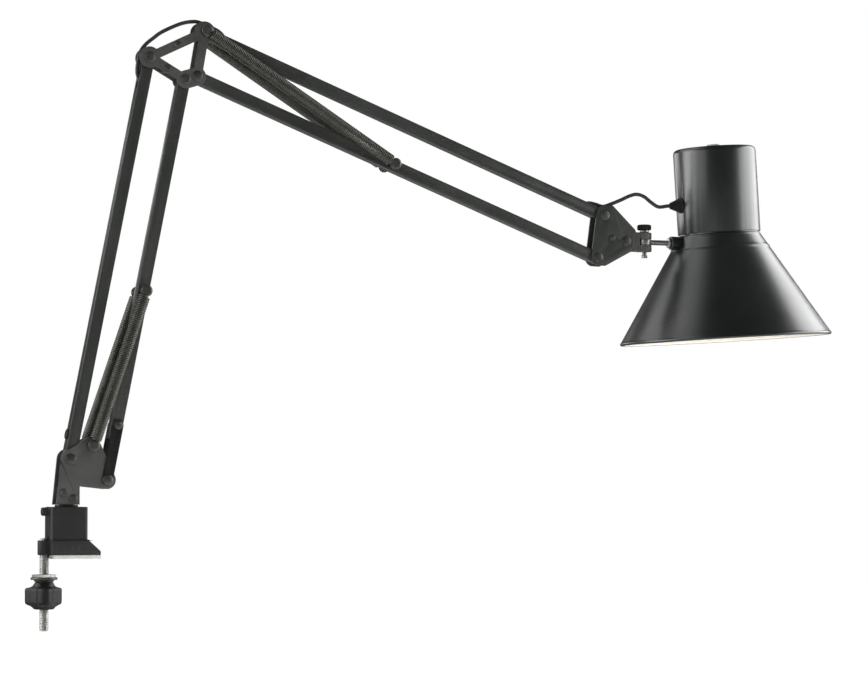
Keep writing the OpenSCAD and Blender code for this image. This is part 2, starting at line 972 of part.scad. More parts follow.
module head_spacer() {
    color(zinc)
        riveted_spacer(spacer_at, elbow_spacer_d);
}

module head_pivot_pins() {
    color(zinc)
        for (p = [top_head, bottom_head, tilt_pivot])
            rivet(p, plate_out, pivot_d, rivet_head_d);
}

// Knuckle, which tilts on the head bracket and holds the stem
eye_t = stem_d + 2 * seat_gap;
fork_back = thumb_x - eye_disc_r - eye_disc_play;

module knuckle() {
    color(plate_paint)
        difference() {
            union() {
                slab(-bar_half, bar_half)
                    link(tilt_pivot, [fork_back - over, stem_z], knuckle_tongue_r);
                slab(-bar_half, bar_half)
                    translate([fork_back - knuckle_back, stem_z - knuckle_h / 2])
                        square([knuckle_back, knuckle_h]);
                translate([fork_back, -knuckle_w / 2, stem_z - knuckle_h / 2])
                    cube([thumb_x - fork_back, knuckle_w, knuckle_h]);
                translate([thumb_x, 0, stem_z - knuckle_h / 2])
                    cylinder(d = knuckle_w, h = knuckle_h);
            }
            across(tilt_pivot, -bar_w, bar_w, pivot_d + 2 * running);
            translate([fork_back, -knuckle_w, stem_z - eye_t / 2 - running])
                cube([4 * eye_disc_r, 2 * knuckle_w, eye_t + 2 * running]);
            translate([thumb_x, 0, 0])
                cylinder(d = thumb_d + 2 * running, h = 2 * stem_z);
        }
}

thumb_seat = stem_z + knuckle_h / 2 + seat_gap;
thumb_end = stem_z - knuckle_h / 2 - thumb_tail;

module thumb_screw() {
    color(zinc)
        translate([thumb_x, 0, 0]) {
            translate([0, 0, thumb_end])
                cylinder(d = thumb_d, h = thumb_seat + thumb_washer_t + thumb_knob_t / 2 - thumb_end);
            translate([0, 0, thumb_end])
                cylinder(d = thumb_d + 2 * thumb_tip_reach, h = thumb_tip_h);
            translate([0, 0, thumb_seat])
                cylinder(d = 2 * thumb_d, h = thumb_washer_t);
        }
}

module thumb_knob() {
    knob_r = thumb_knob_d / 2;
    color(black_plastic)
        translate([thumb_x, 0, thumb_seat + thumb_washer_t])
            difference() {
                cylinder(r = knob_r, h = thumb_knob_t);
                for (k = [0 : thumb_ribs - 1])
                    rotate(360 * k / thumb_ribs)
                        translate([knob_r + thumb_rib_r / 2, 0, -over])
                            cylinder(r = thumb_rib_r, h = thumb_knob_t + 2 * over);
                translate([0, 0, -over])
                    cylinder(d = thumb_d + 2 * fixed, h = thumb_knob_t / 2 + over + fixed);
            }
}

// The stem's boss on the shade: its outer and inner faces, measured along X
function cone_radius(z) = neck_d / 2 + (rim_d - neck_d) / 2 * max(0, -z) / cone_h;
boss_wall_x = shade_x - cone_radius(-stem_depth - boss_wall_depth);
boss_out = boss_wall_x - boss_reach;
boss_in = boss_wall_x + boss_inside;

module stem() {
    stem_start = thumb_x + eye_disc_r - over;
    stem_end = boss_in + seat_gap + stem_nut_t + stem_tail;
    color(zinc)
        difference() {
            union() {
                translate([thumb_x, 0, stem_z - eye_t / 2])
                    cylinder(r = eye_disc_r, h = eye_t);
                translate([stem_start, 0, stem_z])
                    rotate([0, 90, 0])
                        cylinder(d = stem_d, h = stem_end - stem_start);
                translate([boss_out - seat_gap - stem_collar_t, 0, stem_z])
                    rotate([0, 90, 0])
                        cylinder(d = 0.75 * boss_d, h = stem_collar_t);
            }
            translate([thumb_x, 0, 0])
                cylinder(d = thumb_d + 2 * running, h = 2 * stem_z);
        }
}

module stem_nut() {
    nut_d = stem_d + 2 * stem_nut_wall;
    color(zinc)
        difference() {
            translate([boss_in + seat_gap, 0, stem_z])
                rotate([0, 90, 0])
                    cylinder(d = nut_d, h = stem_nut_t, $fn = 6);
            translate([boss_in, 0, stem_z])
                rotate([0, 90, 0])
                    cylinder(d = stem_d + 2 * fixed, h = 2 * stem_nut_t);
        }
}

// Shade and what is in it, in a frame whose Z is the shade's axis
module in_shade() {
    translate([shade_x, 0, shade_z])
        rotate([0, -shade_lean, 0])
            children();
}

cone_slant = norm([(rim_d - neck_d) / 2, cone_h]);
wall_dx = shade_wall * cone_slant / cone_h;
neck_r = neck_d / 2;
collar_r = neck_r - shade_wall - fixed;

module shade_cone() {
    color(paint)
        difference() {
            union() {
                in_shade()
                    rotate_extrude($fn = 96) {
                        polygon([
                            [neck_r, 0], [rim_d / 2, -cone_h], [rim_d / 2 - wall_dx, -cone_h],
                            [neck_r - wall_dx, 0], [collar_r - shade_wall, 0],
                            [collar_r - shade_wall, collar_h], [collar_r, collar_h],
                            [collar_r, collar_lip], [neck_r, collar_lip]
                        ]);
                        translate([rim_d / 2 - bead_r, -cone_h])
                            circle(bead_r);
                    }
                translate([boss_out, 0, stem_z])
                    rotate([0, 90, 0])
                        cylinder(d = boss_d, h = boss_in - boss_out);
            }
            translate([boss_out - over, 0, stem_z])
                rotate([0, 90, 0])
                    cylinder(d = stem_d + 2 * running, h = boss_in - boss_out + 2 * over);
        }
}

holder_top = holder_z + holder_h;

module neck_cover() {
    inner_r = neck_r - shade_wall;
    color(paint)
        in_shade()
            difference() {
                rotate_extrude($fn = 96)
                    difference() {
                        union() {
                            translate([0, seam_h])
                                square([neck_r, neck_h - neck_round - seam_h]);
                            square([neck_r - neck_round, neck_h]);
                            translate([neck_r - neck_round, neck_h - neck_round])
                                circle(neck_round);
                        }
                        translate([-over, -over])
                            square([inner_r + over, neck_h - neck_round + over]);
                        translate([-over, -over])
                            square([inner_r - neck_round + over, neck_h - shade_wall + over]);
                        translate([-neck_d, -neck_d])
                            square([neck_d, 3 * neck_d]);
                        translate([0, -neck_d])
                            square([neck_d, neck_d + seam_h]);
                    }
                for (k = [0 : vent_count - 1])
                    rotate(360 * (k + 0.5) / vent_count)
                        translate([neck_r * vent_in, -vent_w / 2, neck_h - lid_cut])
                            cube([neck_r * vent_reach, vent_w, 2 * lid_cut]);
                translate([0, 0, neck_h - lid_cut])
                    cylinder(d = button_d + 2 * side_gap, h = 2 * lid_cut);
                translate([-neck_d, 0, gland_z])
                    rotate([0, 90, 0])
                        cylinder(d = gland_thread_d + 2 * fixed, h = neck_d);
            }
}

module lampholder() {
    post_top = neck_h - shade_wall;
    color(white_part)
        in_shade()
            difference() {
                union() {
                    translate([0, 0, holder_z])
                        cylinder(d = holder_d, h = holder_h);
                    for (side = [-1, 1])
                        translate([0, side * holder_post_at, holder_top - over])
                            cylinder(d = holder_post_d, h = post_top - holder_top + over);
                }
                translate([0, 0, holder_z - over])
                    cylinder(d = cap_d + holder_play, h = cap_seat - holder_z + over);
                translate([0, 0, holder_z - over])
                    cylinder(d = holder_mouth_d, h = glass_top - holder_z + over + holder_play / 2);
            }
}

glass_top = holder_top - cap_depth - cap_h;
cap_seat = glass_top + cap_h;

module bulb_cap() {
    color(brass)
        in_shade() {
            translate([0, 0, glass_top])
                cylinder(d = cap_d, h = cap_h - contact_h - over);
            translate([0, 0, cap_seat - contact_h - over])
                cylinder(d = contact_d, h = contact_h + over);
        }
}

// Half outline of a bulb: a globe and a neck that narrows to the cap
module bulb_half(r, neck) {
    globe_z = glass_top - glass_h + globe_d / 2;
    rise = glass_top - globe_z;
    touch = acos(r / norm([neck, rise])) - atan2(neck, rise);
    intersection() {
        union() {
            translate([0, globe_z])
                circle(r, $fn = 96);
            polygon([
                [0, globe_z], [r * cos(touch), globe_z + r * sin(touch)], [neck, glass_top], [0, glass_top]
            ]);
        }
        translate([0, glass_top - 2 * glass_h])
            square([2 * globe_d, 2 * glass_h]);
    }
}

module bulb_glass() {
    color(glass)
        in_shade()
            rotate_extrude($fn = 96)
                difference() {
                    bulb_half(globe_d / 2, cap_d / 2);
                    bulb_half(globe_d / 2 - glass_wall, cap_d / 2 - glass_wall);
                }
}

gland_face = neck_r - gland_bite;
gland_mouth = gland_face + gland_reach;
gland_tail = neck_r - shade_wall - gland_nut_t - gland_nut_gap;

// Gland on the neck: flange and taper outside, and a thread with its nut inside
module flex_gland() {
    wall_in = neck_r - shade_wall;
    bore = flex_d + 2 * fixed;
    color(black_plastic)
        in_shade()
            translate([0, 0, gland_z])
                rotate([0, -90, 0])
                    difference() {
                        union() {
                            translate([0, 0, gland_face])
                                cylinder(d = gland_thread_d + 2 * gland_flange_reach, h = gland_flange_t);
                            translate([0, 0, gland_face + gland_flange_t])
                                cylinder(
                                    d1 = gland_thread_d + 4, d2 = flex_d + 2 * gland_tip_wall,
                                    h = gland_reach - gland_flange_t
                                );
                            translate([0, 0, wall_in - gland_nut_t])
                                cylinder(d = gland_thread_d, h = gland_nut_t + 2);
                            translate([0, 0, gland_tail])
                                cylinder(d = gland_thread_d + 4, h = gland_nut_t);
                        }
                        cylinder(d = bore, h = 2 * neck_r);
                        gland_relief(wall_in);
                    }
}

// Room that the neck's round wall takes under the gland's flange and nut
module gland_relief(wall_in) {
    difference() {
        translate([-neck_d / 2, 0, 0])
            rotate([0, 90, 0])
                cylinder(r = neck_r + fixed, h = neck_d, $fn = 96);
        translate([-neck_d / 2 - over, 0, 0])
            rotate([0, 90, 0])
                cylinder(r = wall_in - fixed, h = neck_d + 2 * over, $fn = 96);
        cylinder(d = gland_thread_d, h = 2 * neck_r);
    }
}

module switch_body() {
    body_top = neck_h - shade_wall;
    color(black_plastic)
        in_shade()
            difference() {
                translate([0, 0, body_top - switch_h])
                    cylinder(d = button_d + 2 * switch_wall, h = switch_h);
                translate([0, 0, body_top - switch_h + switch_floor_t])
                    cylinder(d = button_d + 2 * running, h = switch_h);
            }
}

module switch_button() {
    button_foot = neck_h - shade_wall - switch_h + switch_floor_t + button_travel + seat_gap;
    color(white_part)
        in_shade()
            translate([0, 0, button_foot])
                cylinder(d = button_d, h = neck_h + button_rise - button_foot);
}

// Flex: in the rear bar, over the elbow, in the top bar, over the head and in the neck
function slope_point(p, angle, x, z) = p + x * polar(1, angle) + z * polar(1, angle + 90);
function rear_point(x, z) = slope_point(rear_base, lower_arm_angle, x, z);
function top_point(x, z) = slope_point(top_elbow, upper_arm_angle, x, z);
function shade_point(x, z) = [shade_x, shade_z] + x * polar(1, shade_lean) + z * polar(1, shade_lean + 90);

// Quarter turn of the flex round a centre, between two directions
function quarter(centre, r, from, to) =
    [for (k = [0 : 4]) centre + polar(r, from + (to - from) * k / 4)];

// How the flex climbs out of a bar: places back from the pivot and heights, in widths of the bar
climb = bar_w * [[3, 0.01], [2.5, 0.12], [2, 0.36], [1.5, 0.62], [0.9, 0.74]];

// The loop over the elbow, in shares of the way between its pivots and of the loop's rise
elbow_loop = [
    [-0.1, 0.355], [-0.02, 0.6], [0.094, 0.77], [0.227, 0.88], [0.366, 0.98], [0.574, 1],
    [0.757, 0.96], [0.915, 0.82], [1.03, 0.59]
];

// The loop over the head, in shares of the way to the gland and of the loop's rise
head_loop = [
    [0.016, 0.42], [0.14, 0.54], [0.283, 0.72], [0.424, 0.92], [0.534, 1], [0.644, 0.91],
    [0.753, 0.67], [0.863, 0.49]
];

module flex_lower() {
    bend = bar_room - 0.4;
    entry = concat(
        [[grommet_x, bar_half + 0.8 * grommet_flange_t]],
        quarter([grommet_x + bend, bend], bend, 180, 270),
        [[lower_arm_length - flex_inset - side_gap, 0]]
    );
    color(flex_grey)
        flex_run([for (p = entry) rear_point(p[0], p[1])]);
}

module flex_elbow() {
    start = [for (c = climb) rear_point(lower_arm_length - c[0], c[1])];
    loop = [
        for (d = elbow_loop)
            slope_point(rear_elbow, elbow_angle, d[0] * elbow_reach, d[1] * elbow_loop_rise)
    ];
    finish = [for (i = [len(climb) - 1 : -1 : 0]) top_point(climb[i][0], climb[i][1])];
    color(flex_grey)
        flex_run(concat(
            [rear_point(lower_arm_length - flex_inset, 0)],
            soft_route(concat(start, loop, finish), 3),
            [top_point(flex_inset, 0)]
        ));
}

module flex_upper() {
    end_gap = flex_inset + side_gap;
    color(flex_grey)
        flex_run([top_point(end_gap, 0), top_point(upper_arm_length - end_gap, 0)]);
}

module flex_head() {
    start = [for (c = climb) top_point(upper_arm_length - c[0], c[1])];
    last = shade_point(-gland_mouth - flex_d, gland_z);
    loop = [for (d = head_loop) top_head + [d[0] * (last[0] - top_head[0]), d[1] * head_loop_rise]];
    color(flex_grey)
        flex_run(concat(
            [top_point(upper_arm_length - flex_inset, 0)],
            soft_route(concat(start, loop, [last]), 3),
            [shade_point(-gland_mouth, gland_z)]
        ));
}

module flex_neck() {
    low = [over - gland_tail, gland_z + flex_bend];
    high = low + [2 * flex_bend, flex_rise];
    turns = concat(
        [[side_gap - gland_mouth, gland_z]],
        quarter(low, flex_bend, -90, 0),
        quarter(high, flex_bend, 180, 90),
        [[-holder_d / 2, high[1] + flex_bend]]
    );
    color(flex_grey)
        flex_run([for (p = turns) shade_point(p[0], p[1])]);
}

// Springs. Each is one wire: its two eyes sit on their pins, and the coil winds between them.
// In a coil's own frame X runs along the spring. The wire starts on the spring's axis, widens to
// the coil in three quarters of a turn, winds along, and comes back to the axis at the far end.
coil_lead = eye_r + eye_throat;
coil_tail = coil_lead + 3 * wire_d;
lower_span = norm(lower_catch - lower_anchor);
upper_span = norm(upper_catch - upper_anchor);

function direction(p, q) = atan2(q[1] - p[1], q[0] - p[0]);
function coil_wire(start, end, curls) = [
    for (k = [0 : 8 * curls])
        let (turn = k / 8, widen = min(1, turn / 0.75, (curls - turn) / 0.75))
            [
                start + (end - start) * turn / curls,
                coil_r * widen * cos(360 * turn), coil_r * widen * sin(360 * turn)
            ]
];
function coil_refs(curls) = [for (k = [0 : 8 * curls]) [0, cos(45 * k), sin(45 * k)]];
function wire_path(span, curls) =
    concat([[coil_lead, 0, 0]], coil_wire(coil_lead + wire_d, span - coil_tail - wire_d, curls),
        [[span - coil_tail, 0, 0]]);
function wire_refs(curls) = concat([[0, 1, 0]], coil_refs(curls), [[0, 1, 0]]);

// The coils of a pair of springs between two anchors, one on each side of the bars
module coil_pair(p, q, curls) {
    for (side = [-1, 1])
        translate([0, side * spring_y, 0])
            on_slope(p, direction(p, q))
                tube(wire_path(norm(q - p), curls), wire_refs(curls), wire_r, 6);
}

// The eyes of a pair of springs round the anchor p, with straight wire towards q
module eye_pair(p, q, reach) {
    for (side = [-1, 1])
        translate([0, side * spring_y, 0])
            on_slope(p, direction(p, q)) {
                difference() {
                    rotate([90, 0, 0])
                        rotate_extrude()
                            translate([eye_r, 0])
                                circle(wire_r, $fn = 24);
                    translate([0, -wire_d, 0.2 * eye_r])
                        cube([2 * eye_r, 2 * wire_d, 0.5 * eye_r]);
                }
                translate([eye_r, 0, 0])
                    rotate([0, 90, 0])
                        cylinder(d = wire_d, h = reach - eye_r, $fn = 24);
            }
}

module lower_spring_eyes() {
    color(spring_steel)
        eye_pair(lower_anchor, lower_catch, coil_lead - side_gap);
}

module lower_coils() {
    color(spring_steel)
        coil_pair(lower_anchor, lower_catch, lower_curls);
}

module lower_spring_hooks() {
    color(spring_steel)
        eye_pair(lower_catch, lower_anchor, coil_tail - side_gap);
}

module upper_spring_eyes() {
    color(spring_steel)
        eye_pair(upper_anchor, upper_catch, coil_lead - side_gap);
}

module upper_coils() {
    color(spring_steel)
        coil_pair(upper_anchor, upper_catch, upper_curls);
}

module upper_spring_hooks() {
    color(spring_steel)
        eye_pair(upper_catch, upper_anchor, coil_tail - side_gap);
}

echo(lower_spring_gap = least_gap(wire_path(lower_span, lower_curls), 6, wire_d));
echo(upper_spring_gap = least_gap(wire_path(upper_span, upper_curls), 6, wire_d));

clamp_body();
clamp_rod();
foot_pad();
socket_bush();
pressure_disc();
disc_pad();
clamp_knob();
knob_insert();
base_plate_near();
base_plate_far();
swivel_pin();
base_rivets();
base_pivot_pins();
lower_spring_anchors();
rear_bar();
rear_bar_plugs();
flex_lower();
flex_grommet();
front_bar();
front_bar_plugs();
front_bar_straps();
strap_rivet();
lower_spring_pin();
elbow_plate_near();
elbow_plate_far();
elbow_spacers();
elbow_pivot_pins();
upper_spring_anchor();
flex_elbow();
top_bar();
top_bar_plugs();
flex_upper();
bottom_bar();
bottom_bar_plugs();
upper_spring_pin();
head_plate_near();
head_plate_far();
head_spacer();
head_pivot_pins();
flex_head();
knuckle();
thumb_screw();
thumb_knob();
stem();
stem_nut();
shade_cone();
neck_cover();
lampholder();
bulb_cap();
bulb_glass();
flex_gland();
flex_neck();
switch_body();
switch_button();
lower_spring_eyes();
lower_coils();
lower_spring_hooks();
upper_spring_eyes();
upper_coils();
upper_spring_hooks();
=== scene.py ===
"""Looks of a clamp-on architect lamp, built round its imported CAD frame.

The arms lie in the XZ plane and reach towards +X, Z is up, and the origin is on the desk top. Lengths
are written in millimetres times MM, so that they read like the part's own sizes.
"""

from __future__ import annotations

import json
import logging
import math
from dataclasses import dataclass, field
from enum import Enum

import bmesh
import bpy
import numpy as np
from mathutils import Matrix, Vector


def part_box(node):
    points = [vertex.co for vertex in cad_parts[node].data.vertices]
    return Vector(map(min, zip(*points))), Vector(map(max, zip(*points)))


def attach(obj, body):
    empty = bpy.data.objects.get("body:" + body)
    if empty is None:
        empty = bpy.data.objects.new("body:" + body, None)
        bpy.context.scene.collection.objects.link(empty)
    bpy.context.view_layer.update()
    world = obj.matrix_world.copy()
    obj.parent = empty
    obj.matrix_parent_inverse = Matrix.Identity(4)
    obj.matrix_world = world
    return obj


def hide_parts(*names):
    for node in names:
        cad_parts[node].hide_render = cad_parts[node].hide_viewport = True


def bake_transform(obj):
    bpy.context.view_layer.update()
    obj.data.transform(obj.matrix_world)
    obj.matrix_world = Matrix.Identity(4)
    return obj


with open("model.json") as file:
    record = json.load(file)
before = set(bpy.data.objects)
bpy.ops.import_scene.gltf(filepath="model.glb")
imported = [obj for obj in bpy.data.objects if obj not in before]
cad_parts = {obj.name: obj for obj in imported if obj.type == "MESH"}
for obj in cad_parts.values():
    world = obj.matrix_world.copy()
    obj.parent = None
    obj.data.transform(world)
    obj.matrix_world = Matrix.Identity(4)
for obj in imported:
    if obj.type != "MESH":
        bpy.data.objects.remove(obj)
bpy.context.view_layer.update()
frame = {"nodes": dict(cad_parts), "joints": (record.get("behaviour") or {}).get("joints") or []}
MM = 0.001
LOG = logging.getLogger("lamp")
# The two sides of the arms, with the sign of their Y
SIDES = {"near": -1, "far": 1}
# Most of the way to the next corner that a rounded corner takes up
CORNER_SHARE = 0.45
# Merging distance, flatness and sharpness of the CAD copies whose edges are rounded
WELD = 0.001 * MM
FLAT_DEGREES = 0.4
SHARP_DEGREES = 35
# Outer face of the brackets' plates, from the arms' middle plane
PLATE_OUT = 6.9 * MM
# Settled dust, and how strongly the cloudy variation shows
DUST_COLOUR = (0.42, 0.41, 0.38)
MOTTLE_CONTRAST = 2.2


# Mesh tools


def quads(rows: int, columns: int, ring: bool = False) -> np.ndarray:
    """Numbers the corners of every face on a grid of points whose last column joins the first.

    Args:
        rows: points along the first parameter.
        columns: points along the second parameter.
        ring: whether the last row joins the first.

    Returns:
        One row of four vertex numbers for each face.
    """
    a, b = np.meshgrid(np.arange(rows if ring else rows - 1), np.arange(columns), indexing="ij")
    a_next, b_next = (a + 1) % rows, (b + 1) % columns
    corners = [a * columns + b, a_next * columns + b, a_next * columns + b_next, a * columns + b_next]
    return np.stack(corners, -1).reshape(-1, 4)


def angles(steps: int) -> np.ndarray:
    """Angles of a full turn, in equal steps."""
    return np.linspace(0, 2 * np.pi, steps, endpoint=False)


def around(r: np.ndarray | float, a: np.ndarray, z: np.ndarray) -> np.ndarray:
    """Points (r cos a, r sin a, z) on a grid, with a row for each z and a column for each angle."""
    return np.stack(np.broadcast_arrays(r * np.cos(a), r * np.sin(a), z), -1)


def linked(name: str, data: bpy.types.ID) -> bpy.types.Object:
    """Puts a new object with the given data into the scene.

    Args:
        name: the object's name.
        data: its mesh, camera or light.

    Returns:
        The object.
    """
    made = bpy.data.objects.new(name, data)
    bpy.context.scene.collection.objects.link(made)
    return made


def shown(name: str, mesh: bpy.types.Mesh, shell: bmesh.types.BMesh) -> bpy.types.Object:
    """Puts a shell into a mesh with smooth faces, and the mesh into the scene.

    Args:
        name: the piece's name.
        mesh: the mesh that takes the faces.
        shell: the faces, freed here.

    Returns:
        The new object, at the origin.
    """
    shell.to_mesh(mesh)
    shell.free()
    mesh.polygons.foreach_set("use_smooth", np.ones(len(mesh.polygons), bool))
    return linked(name, mesh)


def mesh_piece(name: str, points: np.ndarray, faces: np.ndarray) -> bpy.types.Object:
    """Makes a smooth, closed, outward-facing piece from points and faces.

    Args:
        name: the piece's name.
        points: vertex places in metres, in the lamp's frame.
        faces: vertex numbers, four to a face.

    Returns:
        The new object, at the origin.
    """
    mesh = bpy.data.meshes.new(name)
    mesh.from_pydata(points.reshape(-1, 3).tolist(), [], faces.tolist())
    shell = bmesh.new()
    shell.from_mesh(mesh)
    bmesh.ops.remove_doubles(shell, verts=shell.verts, dist=1e-7)
    if shell.calc_volume(signed=True) < 0:
        bmesh.ops.reverse_faces(shell, faces=shell.faces)
    return shown(name, mesh, shell)


def eased(corners: np.ndarray, radius: float, steps: int = 5) -> np.ndarray:
    """Rounds the inner corners of an open outline.

    Each corner P becomes the curve (1-t)^2 A + 2t(1-t) P + t^2 B, where A and B lie on the outline on
    either side of P, at the radius or at a share of the way to the next corner.

    Args:
        corners: outline points, one to a row.
        radius: how far from a corner the curve starts.
        steps: points on each curve.

    Returns:
        The outline with its corners rounded.
    """
    before, corner, after = corners[:-2], corners[1:-1], corners[2:]
    back, ahead = before - corner, after - corner
    back_length = np.linalg.norm(back, axis=1, keepdims=True)
    ahead_length = np.linalg.norm(ahead, axis=1, keepdims=True)
    start = corner + back * np.minimum(radius, CORNER_SHARE * back_length) / back_length
    end = corner + ahead * np.minimum(radius, CORNER_SHARE * ahead_length) / ahead_length
    t = np.linspace(0, 1, steps)[None, :, None]
    curve = (1 - t) ** 2 * start[:, None] + 2 * t * (1 - t) * corner[:, None] + t ** 2 * end[:, None]
    return np.vstack([corners[:1], curve.reshape(-1, corners.shape[1]), corners[-1:]])


@dataclass(frozen=True)
class Place:
    """A local frame: an origin in metres, and the lamp directions of its own X, Y and Z."""

    origin: np.ndarray
    axes: np.ndarray

    def out(self, points: np.ndarray) -> np.ndarray:
        """Carries local points into the lamp's frame: origin + x X + y Y + z Z."""
        return points @ self.axes + self.origin

    def point(self, x: float, y: float, z: float) -> np.ndarray:
        """The lamp-frame place of one local point."""
        return self.out(np.array([x, y, z]))


def across(pivot: np.ndarray) -> Place:
    """The frame of a pivot, whose local Z runs along the lamp's Y."""
    return Place(pivot, np.array([[1.0, 0, 0], [0, 0, -1.0], [0, 1.0, 0]]))


def upright(origin: np.ndarray) -> Place:
    """A frame in line with the lamp's own."""
    return Place(origin, np.eye(3))


def along(origin: np.ndarray, target: np.ndarray) -> Place:
    """The frame whose X runs from the origin to the target in the arms' plane, with Y across."""
    run = (target - origin) / np.linalg.norm(target - origin)
    return Place(origin, np.array([run, [0, 1.0, 0], [-run[2], 0, run[0]]]))


def turned(name: str, outline: np.ndarray, place: Place, segments: int = 64,
           ring: bool = False) -> bpy.types.Object:
    """A surface of revolution: each outline point (r, z) becomes (r cos a, r sin a, z).

    Args:
        name: the piece's name.
        outline: radii and heights in metres. Its ends lie on the axis, unless it is a ring.
        place: the frame whose Z is the axis.
        segments: steps round the axis.
        ring: whether the outline is closed and doesn't meet the axis.

    Returns:
        The new piece.
    """
    points = around(outline[:, :1], angles(segments), outline[:, 1:])
    return mesh_piece(name, place.out(points), quads(len(outline), segments, ring))


def swept(name: str, path: np.ndarray, radius: float, sides: int, toward: np.ndarray) -> bpy.types.Object:
    """A round tube along a path: path(i) + radius (cos a u(i) + sin a v(i)).

    The direction u is the reference toward, made square to the path, and v is square to both. Two
    points on the path's ends close the tube.

    Args:
        name: the piece's name.
        path: points in metres.
        radius: of the tube.
        sides: steps round the tube.
        toward: the reference direction, one for all points or one for each.

    Returns:
        The new piece.
    """
    heading = np.gradient(path, axis=0)
    heading /= np.linalg.norm(heading, axis=1, keepdims=True)
    u = toward - (toward * heading).sum(1, keepdims=True) * heading
    u /= np.linalg.norm(u, axis=1, keepdims=True)
    v = np.cross(heading, u)
    a = angles(sides)[None, :, None]
    rings = path[:, None] + radius * (np.cos(a) * u[:, None] + np.sin(a) * v[:, None])
    first = np.repeat(path[:1, None], sides, axis=1)
    last = np.repeat(path[-1:, None], sides, axis=1)
    points = np.concatenate([first, rings, last])
    return mesh_piece(name, points, quads(len(points), sides))


def softened(node: str, name: str, width: float, segments: int = 3,
             slide: bool = True) -> bpy.types.Object:
    """Copies a CAD node as one merged shell and rounds its edges with a live Bevel.

    Args:
        node: the CAD node.
        name: the new piece's name.
        width: of the rounding, in metres.
        segments: steps across the rounding.
        slide: whether the rounding's ends slide along the edges that they meet.

    Returns:
        The new piece, which stands for the node.
    """
    mesh = frame["nodes"][node].data.copy()
    mesh.name = name
    shell = bmesh.new()
    shell.from_mesh(mesh)
    bmesh.ops.remove_doubles(shell, verts=shell.verts, dist=WELD)
    bmesh.ops.dissolve_limit(shell, angle_limit=math.radians(FLAT_DEGREES), verts=shell.verts,
                             edges=shell.edges)
    mesh.materials.clear()
    piece = shown(name, mesh, shell)
    bevel = piece.modifiers.new("rounded edges", "BEVEL")
    bevel.width = width
    bevel.segments = segments
    bevel.limit_method = "ANGLE"
    bevel.angle_limit = math.radians(SHARP_DEGREES)
    bevel.use_clamp_overlap = False
    bevel.loop_slide = slide
    bevel.harden_normals = True
    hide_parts(node)
    return piece


# Finishes


class Nodes:
    """Short calls for placing and joining shader nodes in one tree."""

    def __init__(self, tree: bpy.types.NodeTree) -> None:
        """Keeps the tree."""
        self.tree = tree

    def add(self, kind: str, values: dict | None = None, **settings: object) -> bpy.types.Node:
        """Adds a node.

        Args:
            kind: Blender's name of the node type, without ShaderNode.
            values: input socket names or numbers, with values or sockets to join to them.
            settings: attributes of the node.

        Returns:
            The node.
        """
        made = self.tree.nodes.new("ShaderNode" + kind)
        for key, value in settings.items():
            setattr(made, key, value)
        for key, value in (values or {}).items():
            if isinstance(value, bpy.types.NodeSocket):
                self.tree.links.new(value, made.inputs[key])
            else:
                made.inputs[key].default_value = value
        return made

    def object_point(self) -> bpy.types.NodeSocket:
        """The point on the surface, in the piece's own frame."""
        return self.add("TexCoord").outputs["Object"]

    def noise(self, scale: float | bpy.types.NodeSocket, detail: float,
              roughness: float = 0.5) -> bpy.types.NodeSocket:
        """Noise over the piece's own frame."""
        return self.add("TexNoise", {"Vector": self.object_point(), "Scale": scale, "Detail": detail,
                                     "Roughness": roughness}).outputs["Fac"]

    def maths(self, operation: str, *values: float | bpy.types.NodeSocket,
              clamp: bool = False) -> bpy.types.NodeSocket:
        """The result of a Math node on the values, held between 0 and 1 where clamp is set."""
        made = self.add("Math", dict(enumerate(values)), operation=operation, use_clamp=clamp)
        return made.outputs[0]

    def ranged(self, value: bpy.types.NodeSocket, low: float | bpy.types.NodeSocket,
               high: float | bpy.types.NodeSocket) -> bpy.types.NodeSocket:
        """0 where the value is at most low and 1 where it is at least high, straight between."""
        return self.add("MapRange", {"Value": value, "From Min": low, "From Max": high}).outputs[0]

    def mixed(self, mask: bpy.types.NodeSocket, under: bpy.types.NodeSocket | tuple[float, ...],
              over: tuple[float, ...]) -> bpy.types.NodeSocket:
        """One colour over another where the mask is, by the Mix node's factor and colour sockets."""
        return self.add("Mix", {0: mask, 6: under, 7: over}, data_type="RGBA").outputs[2]


class Group:
    """A shader node group with named numbers going in and one number coming out, built once."""

    def __init__(self, name: str, inputs: dict[str, float], output: str) -> None:
        """Makes the group's tree and sockets.

        Args:
            name: the group's name.
            inputs: names and default numbers.
            output: the name of what comes out.
        """
        self.tree = bpy.data.node_groups.new(name, "ShaderNodeTree")
        for key, value in inputs.items():
            made = self.tree.interface.new_socket(key, in_out="INPUT", socket_type="NodeSocketFloat")
            made.default_value = value
        self.tree.interface.new_socket(output, in_out="OUTPUT", socket_type="NodeSocketFloat")
        self.nodes = Nodes(self.tree)
        self.given = self.tree.nodes.new("NodeGroupInput").outputs
        self.result = self.tree.nodes.new("NodeGroupOutput").inputs

    def give(self, socket: bpy.types.NodeSocket) -> bpy.types.NodeTree:
        """Joins a socket to what comes out, and hands over the finished tree."""
        self.tree.links.new(socket, self.result[0])
        return self.tree


def mottle_group() -> bpy.types.NodeTree:
    """Slow cloudy variation, from 0 to 1: octaves of noise, stretched about the middle.

    Returns:
        The group's tree.
    """
    group = Group("cloudy variation", {"Scale": 30.0, "Contrast": 2.0}, "Mask")
    n = group.nodes
    centred = n.maths("SUBTRACT", n.noise(group.given["Scale"], 4.0, roughness=0.62), 0.5)
    return group.give(n.maths("MULTIPLY_ADD", centred, group.given["Contrast"], 0.5, clamp=True))


